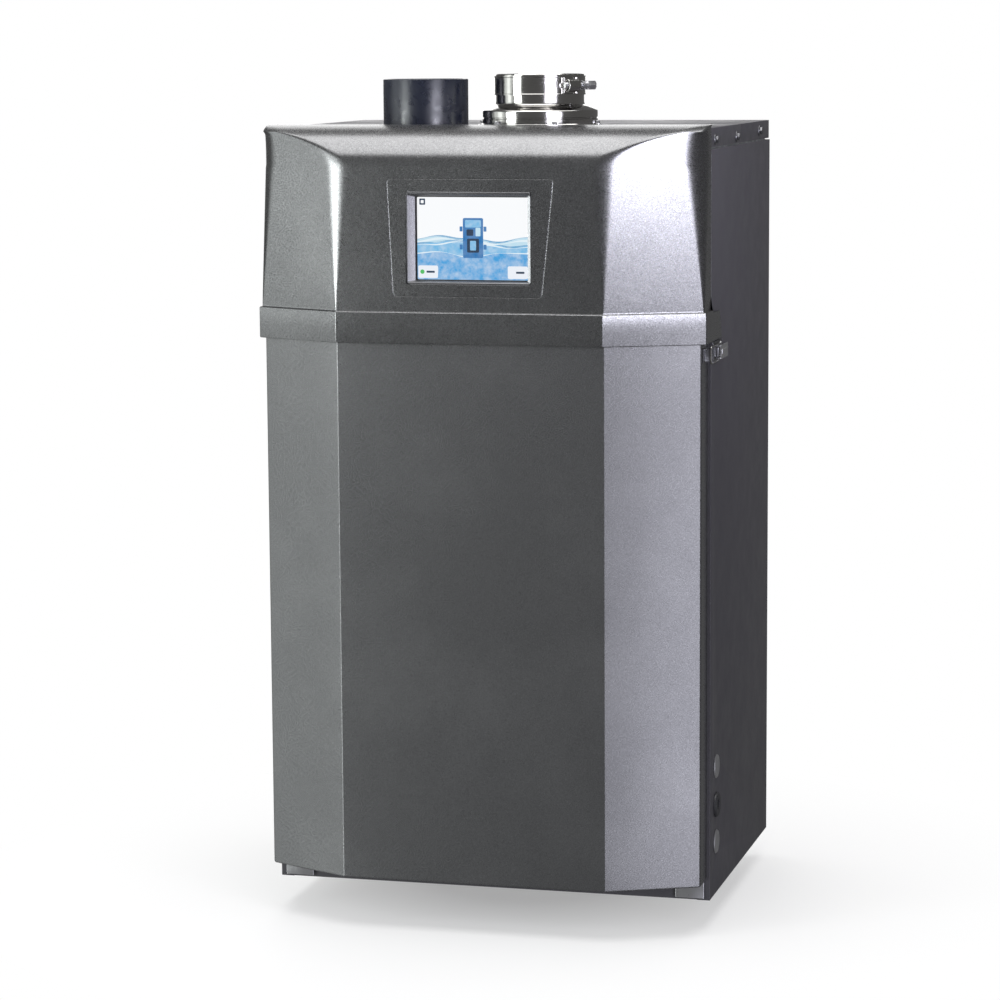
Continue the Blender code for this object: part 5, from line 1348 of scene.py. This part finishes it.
def world():
    made = bpy.data.worlds.new("studio")
    SCENE.world = made
    made.use_nodes = True
    tree = made.node_tree
    back = tree.nodes["Background"]
    back.inputs["Color"].default_value = (1, 1, 1, 1)
    path = tree.nodes.new("ShaderNodeLightPath")
    ramp = tree.nodes.new("ShaderNodeMapRange")
    ramp.inputs["To Min"].default_value = 0.15
    ramp.inputs["To Max"].default_value = 1.0
    tree.links.new(path.outputs["Is Camera Ray"], ramp.inputs["Value"])
    tree.links.new(ramp.outputs[0], back.inputs["Strength"])


def camera():
    data = bpy.data.cameras.new("camera")
    data.lens = 119.03
    data.sensor_width = 36
    data.clip_end = 50
    obj = bpy.data.objects.new("camera", data)
    yaw, pitch, roll = 0.257227, 0.138054, -0.006261
    forward = Vector((-math.sin(yaw) * math.cos(pitch), math.cos(yaw) * math.cos(pitch), -math.sin(pitch)))
    right = Vector((math.cos(yaw), math.sin(yaw), 0))
    up = right.cross(forward)
    tilted = right * math.cos(roll) + up * math.sin(roll)
    raised = up * math.cos(roll) - right * math.sin(roll)
    turn = Matrix((tilted, raised, -forward)).transposed().to_4x4()
    obj.matrix_world = Matrix.Translation((0.8698, -3.2648 - 0.165, 0.8797)) @ turn
    SCENE.collection.objects.link(obj)
    SCENE.camera = obj


build_hood()
build_cover()
build_screen(build_bezel())
build_intake()
build_exhaust()
build_clamp()
build_top_screws()
build_side_entries()
build_latch_trim()
build_pan_trim()
build_burner_trim()
build_exchanger_trim()
build_air_trim()
build_water_trim()
build_board_trim()
build_wiring()
build_door_lining()
build_back_trim()
dress_all()
studio()
world()
soft_box("left_box", -44, 3.0, 0.2, (1.05, 4.2), 4.8, LEFT_TINT)
soft_box("left_wall", -76, 3.0, 0.2, (1.20, 4.2), 1.15, LEFT_TINT)
soft_box("right_box", 48, 3.0, 0.2, (0.90, 4.2), 3.8, RIGHT_TINT)
soft_box("right_wall", 31, 3.2, 0.2, (0.60, 4.2), 1.4, RIGHT_TINT)
soft_box("back_wall", 199, 3.0, 1.5, (1.30, 1.80), 2.0, (1.0, 1.0, 1.0))
light("near_right", (0.80, -1.01, 0.91), (0.19, -0.22, 0.86), (0.42, 0.34), 26.0, RIGHT_TINT, 44)
light("near_left", (-0.83, -0.96, 0.71), (-0.14, -0.24, 0.73), (0.36, 0.38), 14.0, LEFT_TINT, 60)
light("near_edge", (-1.25, -0.60, 0.80), (-0.20, -0.24, 0.82), (0.44, 0.40), 1.3, LEFT_TINT, 50)
light("overhead", (0, -0.18, 2.7), (0, -0.18, 0.6), (2.4, 2.60), 4.4)
camera()
SCENE.view_settings.view_transform = "Standard"
